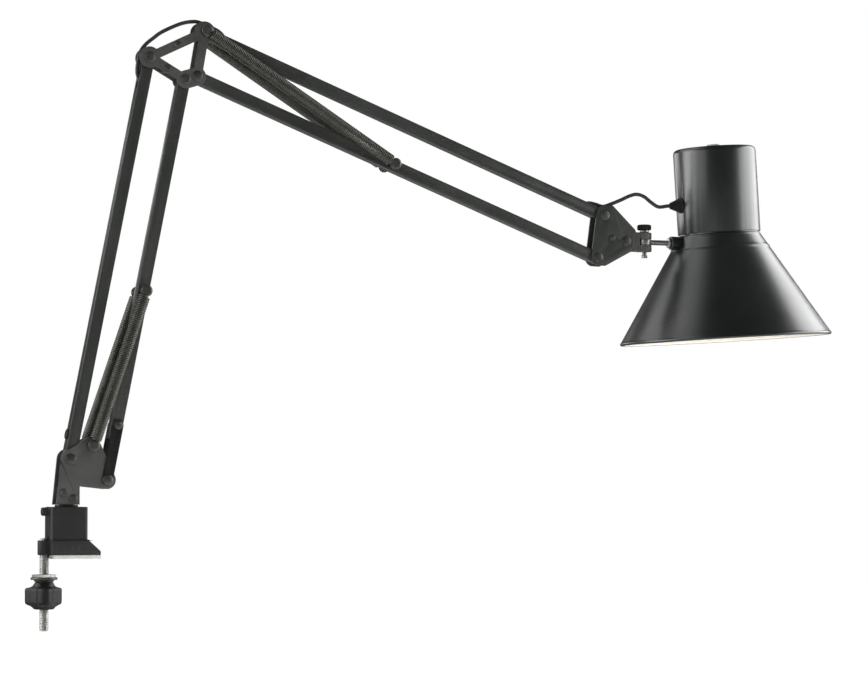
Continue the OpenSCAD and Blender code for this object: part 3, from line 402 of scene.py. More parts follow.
def speck_group() -> bpy.types.NodeTree:
    """Fine dust: small bright spots, where a quick noise passes a limit inside a slow one.

    Returns:
        The group's tree.
    """
    group = Group("fine dust", {"Scale": 900.0, "Amount": 0.3}, "Mask")
    n = group.nodes
    spots = n.ranged(n.noise(group.given["Scale"], 2.0), 0.60, 0.72)
    patches = n.ranged(n.noise(25.0, 3.0), 0.42, 0.62)
    both = n.maths("MULTIPLY", spots, patches)
    return group.give(n.maths("MULTIPLY", both, group.given["Amount"], clamp=True))


def wear_group() -> bpy.types.NodeTree:
    """Rubbed edges: where the surface bulges, broken up by noise.

    Returns:
        The group's tree.
    """
    group = Group("rubbed edges", {"Start": 0.54, "Amount": 0.5}, "Mask")
    n = group.nodes
    bulge = n.add("NewGeometry").outputs["Pointiness"]
    edge = n.ranged(bulge, group.given["Start"], n.maths("ADD", group.given["Start"], 0.08))
    broken = n.ranged(n.noise(160.0, 5.0), 0.45, 0.65)
    both = n.maths("MULTIPLY", edge, broken)
    return group.give(n.maths("MULTIPLY", both, group.given["Amount"], clamp=True))


def grain_group() -> bpy.types.NodeTree:
    """Height of a fine grain: one noise for the pebbles and a finer one over it.

    Returns:
        The group's tree.
    """
    group = Group("fine grain", {"Scale": 1200.0, "Fineness": 3.0}, "Height")
    n = group.nodes
    finer = n.maths("MULTIPLY", group.given["Scale"], group.given["Fineness"])
    pebbles = n.noise(group.given["Scale"], 2.0)
    return group.give(n.maths("MULTIPLY_ADD", n.noise(finer, 1.0), 0.35, pebbles))


class Effect(Enum):
    """The shared surface effects, each with the function that builds its node group."""

    MOTTLE = "cloudy variation"
    SPECKS = "fine dust"
    WEAR = "rubbed edges"
    GRAIN = "fine grain"

    def tree(self) -> bpy.types.NodeTree:
        """The effect's node group, built on first use.

        Returns:
            The group's tree.
        """
        makers = {Effect.MOTTLE: mottle_group, Effect.SPECKS: speck_group, Effect.WEAR: wear_group,
                  Effect.GRAIN: grain_group}
        return bpy.data.node_groups.get(self.value) or makers[self]()


@dataclass(frozen=True)
class Finish:
    """One finish: its record slot, colours, gloss and the strength of each surface effect."""

    slot: str
    name: str
    colour: tuple[float, float, float]
    light: tuple[float, float, float]
    roughness: float
    rough_spread: float = 0.08
    metallic: float = 0.0
    mottle_scale: float = 30.0
    grain_scale: float = 1500.0
    grain_depth: float = 0.02
    wear: float = 0.0
    worn: tuple[float, float, float] = (0.3, 0.3, 0.29)
    dust: float = 0.0
    specular: float = 0.5
    coat: float = 0.0

    def material(self) -> bpy.types.Material:
        """The finish's material, built on first use.

        Returns:
            The material.
        """
        made = bpy.data.materials.get(self.name)
        if made:
            return made
        made = bpy.data.materials.new(self.name)
        made.use_nodes = True
        n = Nodes(made.node_tree)
        n.tree.nodes.clear()
        mottle = self.effect(n, Effect.MOTTLE, {"Scale": self.mottle_scale, "Contrast": MOTTLE_CONTRAST})
        rough = n.add("MapRange", {"Value": mottle, "To Min": self.roughness - self.rough_spread,
                                   "To Max": self.roughness + self.rough_spread})
        shader = n.add("BsdfPrincipled", {
            "Base Color": self.tint(n, mottle), "Roughness": rough.outputs[0], "Normal": self.relief(n),
            "Metallic": self.metallic, "Specular IOR Level": self.specular, "Coat Weight": self.coat,
            "Coat Roughness": 0.16})
        n.add("OutputMaterial", {"Surface": shader.outputs[0]})
        made.diffuse_color = (*self.colour, 1)
        return made

    def effect(self, n: Nodes, effect: Effect, values: dict[str, float]) -> bpy.types.NodeSocket:
        """What comes out of one of the shared effects."""
        return n.add("Group", values, node_tree=effect.tree()).outputs[0]

    def tint(self, n: Nodes, mottle: bpy.types.NodeSocket) -> bpy.types.NodeSocket:
        """The colour, with its rubbed edges and dust.

        Args:
            n: the material's nodes.
            mottle: the cloudy variation, which runs between the finish's two colours.

        Returns:
            The colour's socket.
        """
        last = n.mixed(mottle, (*self.colour, 1), (*self.light, 1))
        if self.wear > 0:
            last = n.mixed(self.effect(n, Effect.WEAR, {"Amount": self.wear}), last, (*self.worn, 1))
        if self.dust > 0:
            last = n.mixed(self.effect(n, Effect.SPECKS, {"Amount": self.dust}), last, (*DUST_COLOUR, 1))
        return last

    def bump(self, n: Nodes, height: bpy.types.NodeSocket, strength: float) -> bpy.types.NodeSocket:
        """The normal that a height gives, at the finish's grain depth."""
        return n.add("Bump", {"Height": height, "Strength": strength,
                              "Distance": self.grain_depth * MM}).outputs["Normal"]

    def relief(self, n: Nodes) -> bpy.types.NodeSocket:
        """The normal of a fine grain."""
        return self.bump(n, self.effect(n, Effect.GRAIN, {"Scale": self.grain_scale}), 0.6)


@dataclass(frozen=True)
class Drawn(Finish):
    """Metal that was drawn or brushed: fine lines along one axis of the piece."""

    stretch: tuple[float, float, float] = (900.0, 900.0, 30.0)

    def relief(self, n: Nodes) -> bpy.types.NodeSocket:
        """The normal of noise that a Mapping node draws out along an axis.

        Args:
            n: the material's nodes.

        Returns:
            The normal's socket.
        """
        place = n.add("Mapping", {"Vector": n.object_point(), "Scale": self.stretch})
        lines = n.add("TexNoise", {"Vector": place.outputs[0], "Scale": 1.0, "Detail": 3.0})
        return self.bump(n, lines.outputs["Fac"], 0.5)


BLACK_PAINT = Finish("black_paint", "near-black semi-gloss paint", (0.019, 0.021, 0.019),
                     (0.029, 0.031, 0.028), 0.36, mottle_scale=22.0, grain_scale=700.0, grain_depth=0.03,
                     wear=0.25, worn=(0.10, 0.10, 0.095), dust=0.08, specular=0.4)
CAST_PAINT = Finish("black_paint", "matt black casting paint", (0.013, 0.014, 0.0135),
                    (0.022, 0.023, 0.022), 0.55, mottle_scale=30.0, grain_scale=1100.0, grain_depth=0.05,
                    wear=0.3, worn=(0.09, 0.09, 0.085), dust=0.08, specular=0.2)
SHADE_PAINT = Finish("shade_paint", "near-black shade paint", (0.003, 0.0045, 0.0042),
                     (0.005, 0.0075, 0.007), 0.31, 0.05, mottle_scale=14.0, grain_scale=600.0,
                     grain_depth=0.02, wear=0.2, worn=(0.06, 0.06, 0.058), dust=0.04, specular=0.8)
SHADE_INSIDE = Finish("shade_paint", "warm white shade lining", (0.80, 0.76, 0.68),
                      (0.86, 0.82, 0.74), 0.45, mottle_scale=18.0, grain_scale=700.0, grain_depth=0.02,
                      dust=0.05)
# Painted light: the bracket plates and the knuckle are black like the arms, and this lighter copy of the
# black paint stands in for the light that they catch. Its rubbed edges and dust are real.
LIT_BRACKET_PAINT = Finish("bracket_paint", "dark grey bracket paint", (0.040, 0.042, 0.040),
                       (0.058, 0.060, 0.056), 0.36, mottle_scale=40.0, grain_scale=800.0,
                       grain_depth=0.03, wear=0.5, worn=(0.20, 0.20, 0.19), dust=0.10, specular=0.4)
BLACK_PLASTIC = Finish("black_plastic", "grained black plastic", (0.004, 0.0045, 0.004),
                       (0.008, 0.009, 0.008), 0.50, mottle_scale=45.0, grain_scale=2200.0,
                       grain_depth=0.05, wear=0.2, worn=(0.05, 0.05, 0.05), dust=0.06, specular=0.2)
ZINC = Drawn("zinc_steel", "dull zinc plate", (0.36, 0.36, 0.345), (0.50, 0.50, 0.48), 0.40, 0.10, 1.0,
             mottle_scale=70.0, grain_depth=0.02, wear=0.3, worn=(0.55, 0.55, 0.53))
RIVET_STEEL = Drawn("zinc_steel", "dulled rivet heads", (0.055, 0.056, 0.053), (0.095, 0.096, 0.090), 0.42,
                    0.10, 0.8, mottle_scale=90.0, grain_depth=0.02, wear=0.4, worn=(0.25, 0.25, 0.24))
SPRING_STEEL = Finish("spring_steel", "dark spring wire", (0.068, 0.068, 0.059),
                      (0.115, 0.115, 0.100), 0.42, 0.1, 0.85, mottle_scale=120.0, grain_scale=2500.0,
                      grain_depth=0.01)
BRASS = Drawn("brass", "dull brass", (0.55, 0.42, 0.20), (0.64, 0.50, 0.26), 0.36, 0.1, 1.0,
              mottle_scale=90.0, grain_depth=0.02)
RUBBER = Finish("pad_rubber", "pale grey rubber", (0.42, 0.41, 0.39), (0.52, 0.51, 0.49), 0.72,
                mottle_scale=60.0, grain_scale=1800.0, grain_depth=0.06, dust=0.15, specular=0.3)
FLEX_COVER = Finish("flex_cover", "smooth dark flex sheath", (0.016, 0.016, 0.015), (0.026, 0.026, 0.025),
                    0.44, mottle_scale=60.0, grain_scale=2600.0, grain_depth=0.02, dust=0.08, specular=0.35)
PORCELAIN = Finish("porcelain", "white glazed porcelain", (0.76, 0.75, 0.71), (0.82, 0.81, 0.77), 0.16,
                   0.05, mottle_scale=35.0, grain_scale=500.0, grain_depth=0.02, coat=0.4)
PALE_PLASTIC = Finish("white_plastic", "pale glossy plastic", (0.44, 0.45, 0.44), (0.50, 0.51, 0.50), 0.28,
                      0.06, mottle_scale=60.0, grain_scale=1400.0, grain_depth=0.02, dust=0.05)
OPAL_GLASS = Finish("bulb_glass", "opal bulb glass", (0.82, 0.82, 0.79), (0.88, 0.88, 0.85), 0.14, 0.03,
                    mottle_scale=12.0, grain_scale=260.0, grain_depth=0.01, coat=0.3)


def settle(piece: bpy.types.Object, body: str, finish: Finish, *nodes: str) -> bpy.types.Object:
    """Gives a finished piece its material, its body and the CAD nodes that it stands for.

    Args:
        piece: the piece.
        body: the CAD body that it moves with.
        finish: its finish.
        nodes: the CAD nodes that it replaces.

    Returns:
        The piece.
    """
    if not piece.data.materials:
        piece.data.materials.append(finish.material())
    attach(piece, body)
    if nodes:
        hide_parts(*nodes)
    LOG.info("%s rides on %s", piece.name, body)
    return piece


def refine(node: str, name: str, width: float, body: str, finish: Finish, segments: int = 3,
           slide: bool = True) -> None:
    """Rounds a CAD node's edges, as softened says, and settles the piece that stands for it."""
    settle(softened(node, name, width, segments, slide), body, finish)


def dress(node: str, finish: Finish) -> None:
    """Gives a CAD node that stays in view its finish.

    Args:
        node: the CAD node.
        finish: its finish.
    """
    for held in frame["nodes"][node].material_slots:
        held.link = "OBJECT"
        held.material = finish.material()
    LOG.info("CAD node %s has %s", node, finish.name)


def pivot(joint: str) -> np.ndarray:
    """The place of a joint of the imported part, in metres."""
    return np.array(next(j["pos_m"] for j in frame["joints"] if j["name"] == joint), float)


# Small hardware


@dataclass
class Rivet:
    """A domed rivet across the arms: a shank with a head at each end."""

    name: str
    centre: np.ndarray
    half_span: float
    shank_d: float = 5 * MM
    head_d: float = 9 * MM
    head_t: float = 1.6 * MM
    rim_share: float = 0.25

    def profile(self) -> np.ndarray:
        """Half outline: each head's dome rises from its rim to head_t as sqrt(1 - (r/R)^2).

        Returns:
            Radii and places along the rivet.
        """
        t = np.linspace(0, 1, 14)
        radius = self.head_d / 2
        r = radius * np.sin(t * np.pi / 2)
        crown = np.sqrt(np.clip(1 - (r / radius) ** 2, 0, 1))
        dome = self.head_t * (self.rim_share + (1 - self.rim_share) * crown)
        top = np.column_stack([r, self.half_span + dome])
        brink = np.array([[radius, self.half_span + 0.03 * self.head_t], [radius * 0.98, self.half_span],
                          [self.shank_d / 2, self.half_span]])
        upper = np.vstack([top, brink])
        lower = upper[::-1] * np.array([1, -1])
        return np.vstack([upper, lower])

    def build(self, body: str, *nodes: str) -> None:
        """Makes the rivet and lets it stand for CAD nodes."""
        settle(turned(self.name, self.profile(), across(self.centre), 40), body, RIVET_STEEL, *nodes)


@dataclass
class SpringPost:
    """A stepped pin with a groove that holds a spring's eye, on one side of the arms."""

    name: str
    centre: np.ndarray
    start: float
    neck: float
    side: int
    spring_y: float
    shank_r: float = 2.5 * MM
    collar_r: float = 3.5 * MM
    half_groove: float = 1.0 * MM
    head_r: float = 5.0 * MM
    head_edge: float = 0.9 * MM
    head_t: float = 1.6 * MM
    crown_r: float = 3.4 * MM

    def profile(self) -> np.ndarray:
        """Half outline of the pin: foot, collar, groove and domed head.

        Returns:
            Radii and places along the pin.
        """
        shoulder, head = self.spring_y - self.half_groove, self.spring_y + self.half_groove
        corners = np.array([
            [0, self.start], [self.shank_r, self.start], [self.shank_r, self.neck],
            [self.collar_r, self.neck], [self.collar_r, shoulder], [self.shank_r, shoulder],
            [self.shank_r, head], [self.head_r, head], [self.head_r, head + self.head_edge],
            [self.crown_r, head + self.head_t], [0, head + self.head_t]])
        return eased(corners, 0.35 * MM, 4)

    def build(self, body: str, *nodes: str) -> None:
        """Makes the pin and lets it stand for CAD nodes."""
        profile = self.profile() * np.array([1, self.side])
        settle(turned(self.name, profile, across(self.centre), 40), body, RIVET_STEEL, *nodes)


# Sub-assemblies


@dataclass
class Clamp:
    """Desk clamp: post and foot, threaded rod, pressure disc and lobed knob."""

    rod_x: float = -18.5 * MM
    rod_r: float = 4 * MM
    rod_low: float = -59.2 * MM
    rod_high: float = 17 * MM
    rod_chamfer: float = 1.1 * MM
    pitch: float = 1.25 * MM
    thread_depth: float = 0.65 * MM
    disc_top: float = -12.9 * MM
    pad_t: float = 2.3 * MM
    disc_t: float = 4 * MM
    knob_h: float = 22 * MM
    knob_gap: float = 0.2 * MM
    knob_play: float = 0.6 * MM
    knob_hub: float = 10.2 * MM
    knob_reach: float = 16.8 * MM
    lobes: int = 3
    lobe_turn: float = 20.0
    lobe_power: float = 1.6

    def axis(self) -> Place:
        """The rod's frame, level with the desk top."""
        return upright(np.array([self.rod_x, 0, 0]))

    def rod(self) -> bpy.types.Object:
        """Threaded rod: r = R - depth |2 frac(z/p - a/2pi) - 1|, brought to a chamfer at both ends.

        Returns:
            The rod.
        """
        rows = int(round((self.rod_high - self.rod_low) / self.pitch * 8)) + 1
        z = np.linspace(self.rod_low, self.rod_high, rows)[:, None]
        a = angles(40)
        turn = z / self.pitch - a / (2 * np.pi)
        groove = self.thread_depth * np.abs(2 * (turn - np.floor(turn)) - 1)
        end = np.minimum(z - self.rod_low, self.rod_high - z)
        r = np.minimum(self.rod_r - groove, self.rod_r - self.rod_chamfer + end)
        foot, top = (around(0, a, np.array([[height]])) for height in (self.rod_low, self.rod_high))
        points = np.concatenate([foot, around(r, a, z), top])
        return mesh_piece("clamp_threaded_rod", self.axis().out(points), quads(len(points), len(a)))

    def disc(self) -> bpy.types.Object:
        """Pressed steel disc with a hub, as one turned outline round the rod.

        Returns:
            The disc.
        """
        seat = self.disc_top - self.pad_t
        corners = np.array([[4.2, 0], [11.0, 0], [11.0, -2.0], [8.6, -2.2], [7.5, -4.0], [4.2, -4.0],
                            [4.2, 0]]) * MM
        loop = eased(corners, 0.5 * MM)[:-1] + np.array([0, seat])
        return turned("pressure_disc_turned", loop, self.axis(), ring=True)

    def knob(self) -> bpy.types.Object:
        """Lobed hand knob: r = bore + s(v) (R(a) - bore), over a rounded outline s(v), z(v).

        R(a) = hub + (reach - hub) (0.5 + 0.5 cos(3 (a - a0)))^1.6, so three soft lobes stand out where
        s is over 0.6, and R is the hub's radius below that.

        Returns:
            The knob.
        """
        bore = self.rod_r + self.knob_play
        top = self.disc_top - self.pad_t - self.disc_t - self.knob_gap
        corners = np.array([[0, 0], [0.55, 0], [0.62, -0.06], [0.72, -0.16], [1.0, -0.24], [1.0, -0.78],
                            [0.74, -0.9], [0.62, -1.0], [0, -1.0], [0, 0]])
        outline = eased(corners, 0.09, 7)[:-1]
        a = angles(120)
        lobe = (0.5 + 0.5 * np.cos(self.lobes * (a - math.radians(self.lobe_turn)))) ** self.lobe_power
        share = outline[:, :1]
        waist = np.clip((share - 0.60) / 0.3, 0, 1)
        full = self.knob_hub + (self.knob_reach - self.knob_hub) * lobe * waist
        points = around(bore + share * (full - bore), a, top + outline[:, 1:] * self.knob_h)
        faces = quads(len(outline), len(a), ring=True)
        return mesh_piece("clamp_lobed_knob", self.axis().out(points), faces)

    def build(self) -> None:
        """Makes and dresses the clamp's pieces."""
        refine("clamp_body", "clamp_casting", 0.8 * MM, "clamp", CAST_PAINT, segments=4, slide=False)
        refine("foot_pad", "clamp_foot_pad", 0.5 * MM, "clamp", RUBBER)
        refine("socket_bush", "swivel_bush", 0.3 * MM, "clamp", BLACK_PLASTIC)
        settle(self.rod(), "clamp", ZINC, "clamp_rod")
        settle(self.disc(), "jaw", RIVET_STEEL, "pressure_disc")
        refine("disc_pad", "pressure_pad", 0.4 * MM, "jaw", RUBBER)
        settle(self.knob(), "clamp_knob", BLACK_PLASTIC, "clamp_knob")
        dress("knob_insert", BRASS)


@dataclass
class BaseBracket:
    """Swivelling bracket: two plates on a pin, with the lower arm's pivots and spring anchors."""

    plate_out: float = PLATE_OUT
    strap_out: float = 8.4 * MM
    post_start: float = 5.3 * MM
    sleeve_in: float = 2.6 * MM
    sleeve_out: float = 4.5 * MM
    sleeve_half: float = 5.2 * MM

    def sleeve(self) -> bpy.types.Object:
        """The sleeve on the front bar's lower pivot, as one turned outline.

        Returns:
            The sleeve.
        """
        low, high, half = self.sleeve_in, self.sleeve_out, self.sleeve_half
        corners = np.array([[low, -half], [high, -half], [high, half], [low, half], [low, -half]])
        loop = eased(corners, 0.3 * MM)[:-1]
        return turned("front_foot_sleeve", loop, across(pivot("front_bar_turn")), 48, ring=True)

    def build(self, springs: Springs) -> None:
        """Makes and dresses the bracket's pieces, with the pins of the lower springs.

        Args:
            springs: the springs, which give the pins their places.
        """
        for side in SIDES:
            refine(f"base_plate_{side}", f"base_cheek_{side}", 0.35 * MM, "base_bracket", LIT_BRACKET_PAINT)
        refine("swivel_pin", "swivel_block", 0.6 * MM, "base_bracket", BLACK_PAINT)
        refine("base_rivets", "base_block_rivets", 0.4 * MM, "base_bracket", RIVET_STEEL)
        for name, joint, half_span in (("rear_foot_rivet", "lower_arm", self.plate_out),
                                       ("front_foot_rivet", "front_bar_turn", self.strap_out)):
            Rivet(name, pivot(joint), half_span).build("base_bracket", "base_pivot_pins")
        settle(self.sleeve(), "base_bracket", ZINC, "base_pivot_pins")
        springs.posts("lower_spring_stub", "lower_eye_turn", self.post_start, self.plate_out,
                      "base_bracket", "lower_spring_anchors")


@dataclass
class Arms:
    """The four square-tube bars with their end plugs, straps and spring pins."""

    bars: dict[str, str] = field(default_factory=lambda: {
        "rear_bar": "lower_rear_tube", "front_bar": "lower_front_tube", "top_bar": "upper_top_tube",
        "bottom_bar": "upper_bottom_tube"})
    strap_reach: float = 46 * MM
    strap_out: float = 8.2 * MM
    strap_rivet_d: float = 4 * MM
    strap_head_d: float = 7.2 * MM
    bar_half: float = 5 * MM

    def build(self, springs: Springs) -> None:
        """Makes and dresses the bars, with the pins that hold the springs' far eyes.

        Args:
            springs: the springs, which give the pins their places.
        """
        for bar, name in self.bars.items():
            refine(bar, name, 0.42 * MM, bar, BLACK_PAINT)
            refine(f"{bar}_plugs", f"{name}_plugs", 0.3 * MM, bar, BLACK_PLASTIC)
        refine("front_bar_straps", "front_foot_straps", 0.3 * MM, "front_bar", BLACK_PLASTIC)
        refine("flex_grommet", "flex_entry_grommet", 0.4 * MM, "rear_bar", BLACK_PLASTIC)
        foot = pivot("front_bar_turn")
        rise = pivot("lower_hook_turn") - foot
        rivet_at = foot + rise / np.linalg.norm(rise) * self.strap_reach
        rivet = Rivet("strap_domed_rivet", rivet_at, self.strap_out, self.strap_rivet_d, self.strap_head_d)
        rivet.build("front_bar", "strap_rivet")
        for body, joint, node in (("front_bar", "lower_hook_turn", "lower_spring_pin"),
                                  ("bottom_bar", "upper_hook_turn", "upper_spring_pin")):
            springs.posts(node, joint, 0, self.bar_half, body, node)


@dataclass
class Elbow:
    """Open triangular bracket that joins the lower and upper bars."""

    plate_out: float = PLATE_OUT

    def build(self, springs: Springs) -> None:
        """Makes and dresses the elbow's pieces.

        Args:
            springs: the springs, which give the pins their places.
        """
        for side in SIDES:
            refine(f"elbow_plate_{side}", f"elbow_cheek_{side}", 0.35 * MM, "elbow", LIT_BRACKET_PAINT)
        refine("elbow_spacers", "elbow_spacer_rivets", 0.4 * MM, "elbow", RIVET_STEEL)
        link = pivot("front_bar_turn") - pivot("lower_arm")
        centres = {"elbow_rear_rivet": pivot("elbow_turn"), "elbow_front_rivet": pivot("elbow_turn") + link,
                   "elbow_low_rivet": pivot("bottom_bar_turn")}
        for name, centre in centres.items():
            Rivet(name, centre, self.plate_out).build("elbow", "elbow_pivot_pins")
        springs.posts("upper_spring_stub", "upper_arm", 0, self.plate_out, "elbow", "upper_spring_anchor")


@dataclass
class Springs:
    """Two pairs of close-wound springs, each coil drawn between its anchors where they lie at rest."""

    side_y: float = 13.1 * MM
    coil_r: float = 4.5 * MM
    wire_r: float = 0.7 * MM
    lead: float = 4.3 * MM
    pitch: float = 1.5 * MM
    steps: int = 16

    def posts(self, name: str, joint: str, start: float, neck: float, body: str, node: str) -> None:
        """Makes the two posts that hold a pair of springs.

        Args:
            name: start of the posts' names.
            joint: the joint whose place they share.
            start: where a post begins, from the arms' middle plane.
            neck: where its collar begins.
            body: the body that carries them.
            node: the CAD node that they stand for.
        """
        for label, side in SIDES.items():
            SpringPost(f"{name}_{label}", pivot(joint), start, neck, side, self.side_y).build(body, node)

    def circle(self, turns: int) -> tuple[np.ndarray, np.ndarray, np.ndarray]:
        """The turn count k along a coil, with cos 2 pi k and sin 2 pi k."""
        k = np.linspace(0, turns, turns * self.steps + 1)
        return k, np.cos(2 * np.pi * k), np.sin(2 * np.pi * k)

    def wire(self, length: float, turns: int) -> np.ndarray:
        """The wire's middle line: (x, r cos 2 pi k, r sin 2 pi k), with k from 0 to the turns.

        The radius r grows from nothing to the coil's in the first three quarters of a turn, and falls
        back to nothing in the last, where the wire meets the straight ends of the eyes.

        Args:
            length: between the anchors.
            turns: of the coil.

        Returns:
            Points in the spring's own frame.
        """
        k, cosine, sine = self.circle(turns)
        grow = np.minimum(np.minimum(k, turns - k) / 0.75, 1)
        r = self.coil_r * np.sin(grow * np.pi / 2)
        x = self.lead + (length - 2 * self.lead) * k / turns
        return np.column_stack([x, r * cosine, r * sine])

    def coil(self, name: str, start: np.ndarray, end: np.ndarray) -> bpy.types.Object:
        """One coil between two anchors.

        Args:
            name: the piece's name.
            start: middle of the eye.
            end: middle of the hook.

        Returns:
            The coil.
        """
        length = float(np.linalg.norm(end - start))
        turns = int(round((length - 2 * self.lead) / self.pitch))
        place = along(start, end)
        k, cosine, sine = self.circle(turns)
        outward = np.column_stack([0 * k, cosine, sine]) @ place.axes
        return swept(name, place.out(self.wire(length, turns)), self.wire_r, 8, outward)

    def build(self) -> None:
        """Makes the coils, which run between two bodies at rest, and dresses the eyes on their pins."""
        for arm in ("lower", "upper"):
            for label, side in SIDES.items():
                shift = np.array([0, side * self.side_y, 0])
                start, end = pivot(f"{arm}_eye_turn") + shift, pivot(f"{arm}_hook_turn") + shift
                piece = self.coil(f"{arm}_coil_{label}", start, end)
                piece.data.materials.append(SPRING_STEEL.material())
                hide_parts(f"{arm}_coils")
                near, far = along(start, end), along(end, start)
                tuple(near.point(self.lead, 0, 0))
                tuple(far.point(self.lead, 0, 0))
                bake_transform(piece)
                LOG.info("%s stretches between its eyes", piece.name)
            dress(f"{arm}_spring_eyes", SPRING_STEEL)
            dress(f"{arm}_spring_hooks", SPRING_STEEL)


@dataclass
class Head:
    """Head bracket with its knuckle, thumb screw and stem."""

    plate_out: float = PLATE_OUT
    knob_r: float = 6.3 * MM
    knob_t: float = 5 * MM
    ribs: int = 24
    rib_depth: float = 0.55 * MM

    def thumb_knob(self) -> bpy.types.Object:
        """Ribbed knob: r = share(v) (R - d (0.5 - 0.5 cos(24 a))), over a rounded outline.

        Returns:
            The knob.
        """
        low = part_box("thumb_knob")[0][2]
        corners = np.array([[0, 0], [0.86, 0], [1.0, 0.16], [1.0, 0.80], [0.84, 1.0], [0.5, 0.94],
                            [0, 0.94]])
        outline = eased(corners, 0.12, 6)
        a = angles(self.ribs * 8)
        flute = self.rib_depth * (0.5 - 0.5 * np.cos(self.ribs * a))
        share = outline[:, :1]
        r = share * (self.knob_r - flute * np.clip((share - 0.8) / 0.15, 0, 1))
        points = around(r, a, low + outline[:, 1:] * self.knob_t)
        place = upright(pivot("thumb_turn") * np.array([1, 1, 0]))
        return mesh_piece("thumb_ribbed_knob", place.out(points), quads(len(outline), len(a)))

    def build(self) -> None:
        """Makes and dresses the head's pieces."""
        for side in SIDES:
            refine(f"head_plate_{side}", f"head_cheek_{side}", 0.35 * MM, "head_bracket", BLACK_PAINT)
        refine("head_spacer", "head_spacer_rivet", 0.4 * MM, "head_bracket", RIVET_STEEL)
        top = pivot("head_bracket_turn")
        link = pivot("bottom_bar_turn") - pivot("upper_arm")
        centres = {"head_top_rivet": top, "head_low_rivet": top + link,
                   "head_tilt_rivet": pivot("head_tilt")}
        for name, centre in centres.items():
            Rivet(name, centre, self.plate_out).build("head_bracket", "head_pivot_pins")
        refine("knuckle", "tilt_knuckle", 0.8 * MM, "knuckle", LIT_BRACKET_PAINT)
        refine("thumb_screw", "thumb_screw_shank", 0.3 * MM, "thumb_screw", ZINC)
        settle(self.thumb_knob(), "thumb_screw", BLACK_PLASTIC, "thumb_knob")
        refine("stem", "shade_stem", 0.4 * MM, "stem", ZINC)
        refine("stem_nut", "stem_lock_nut", 0.3 * MM, "stem", ZINC)


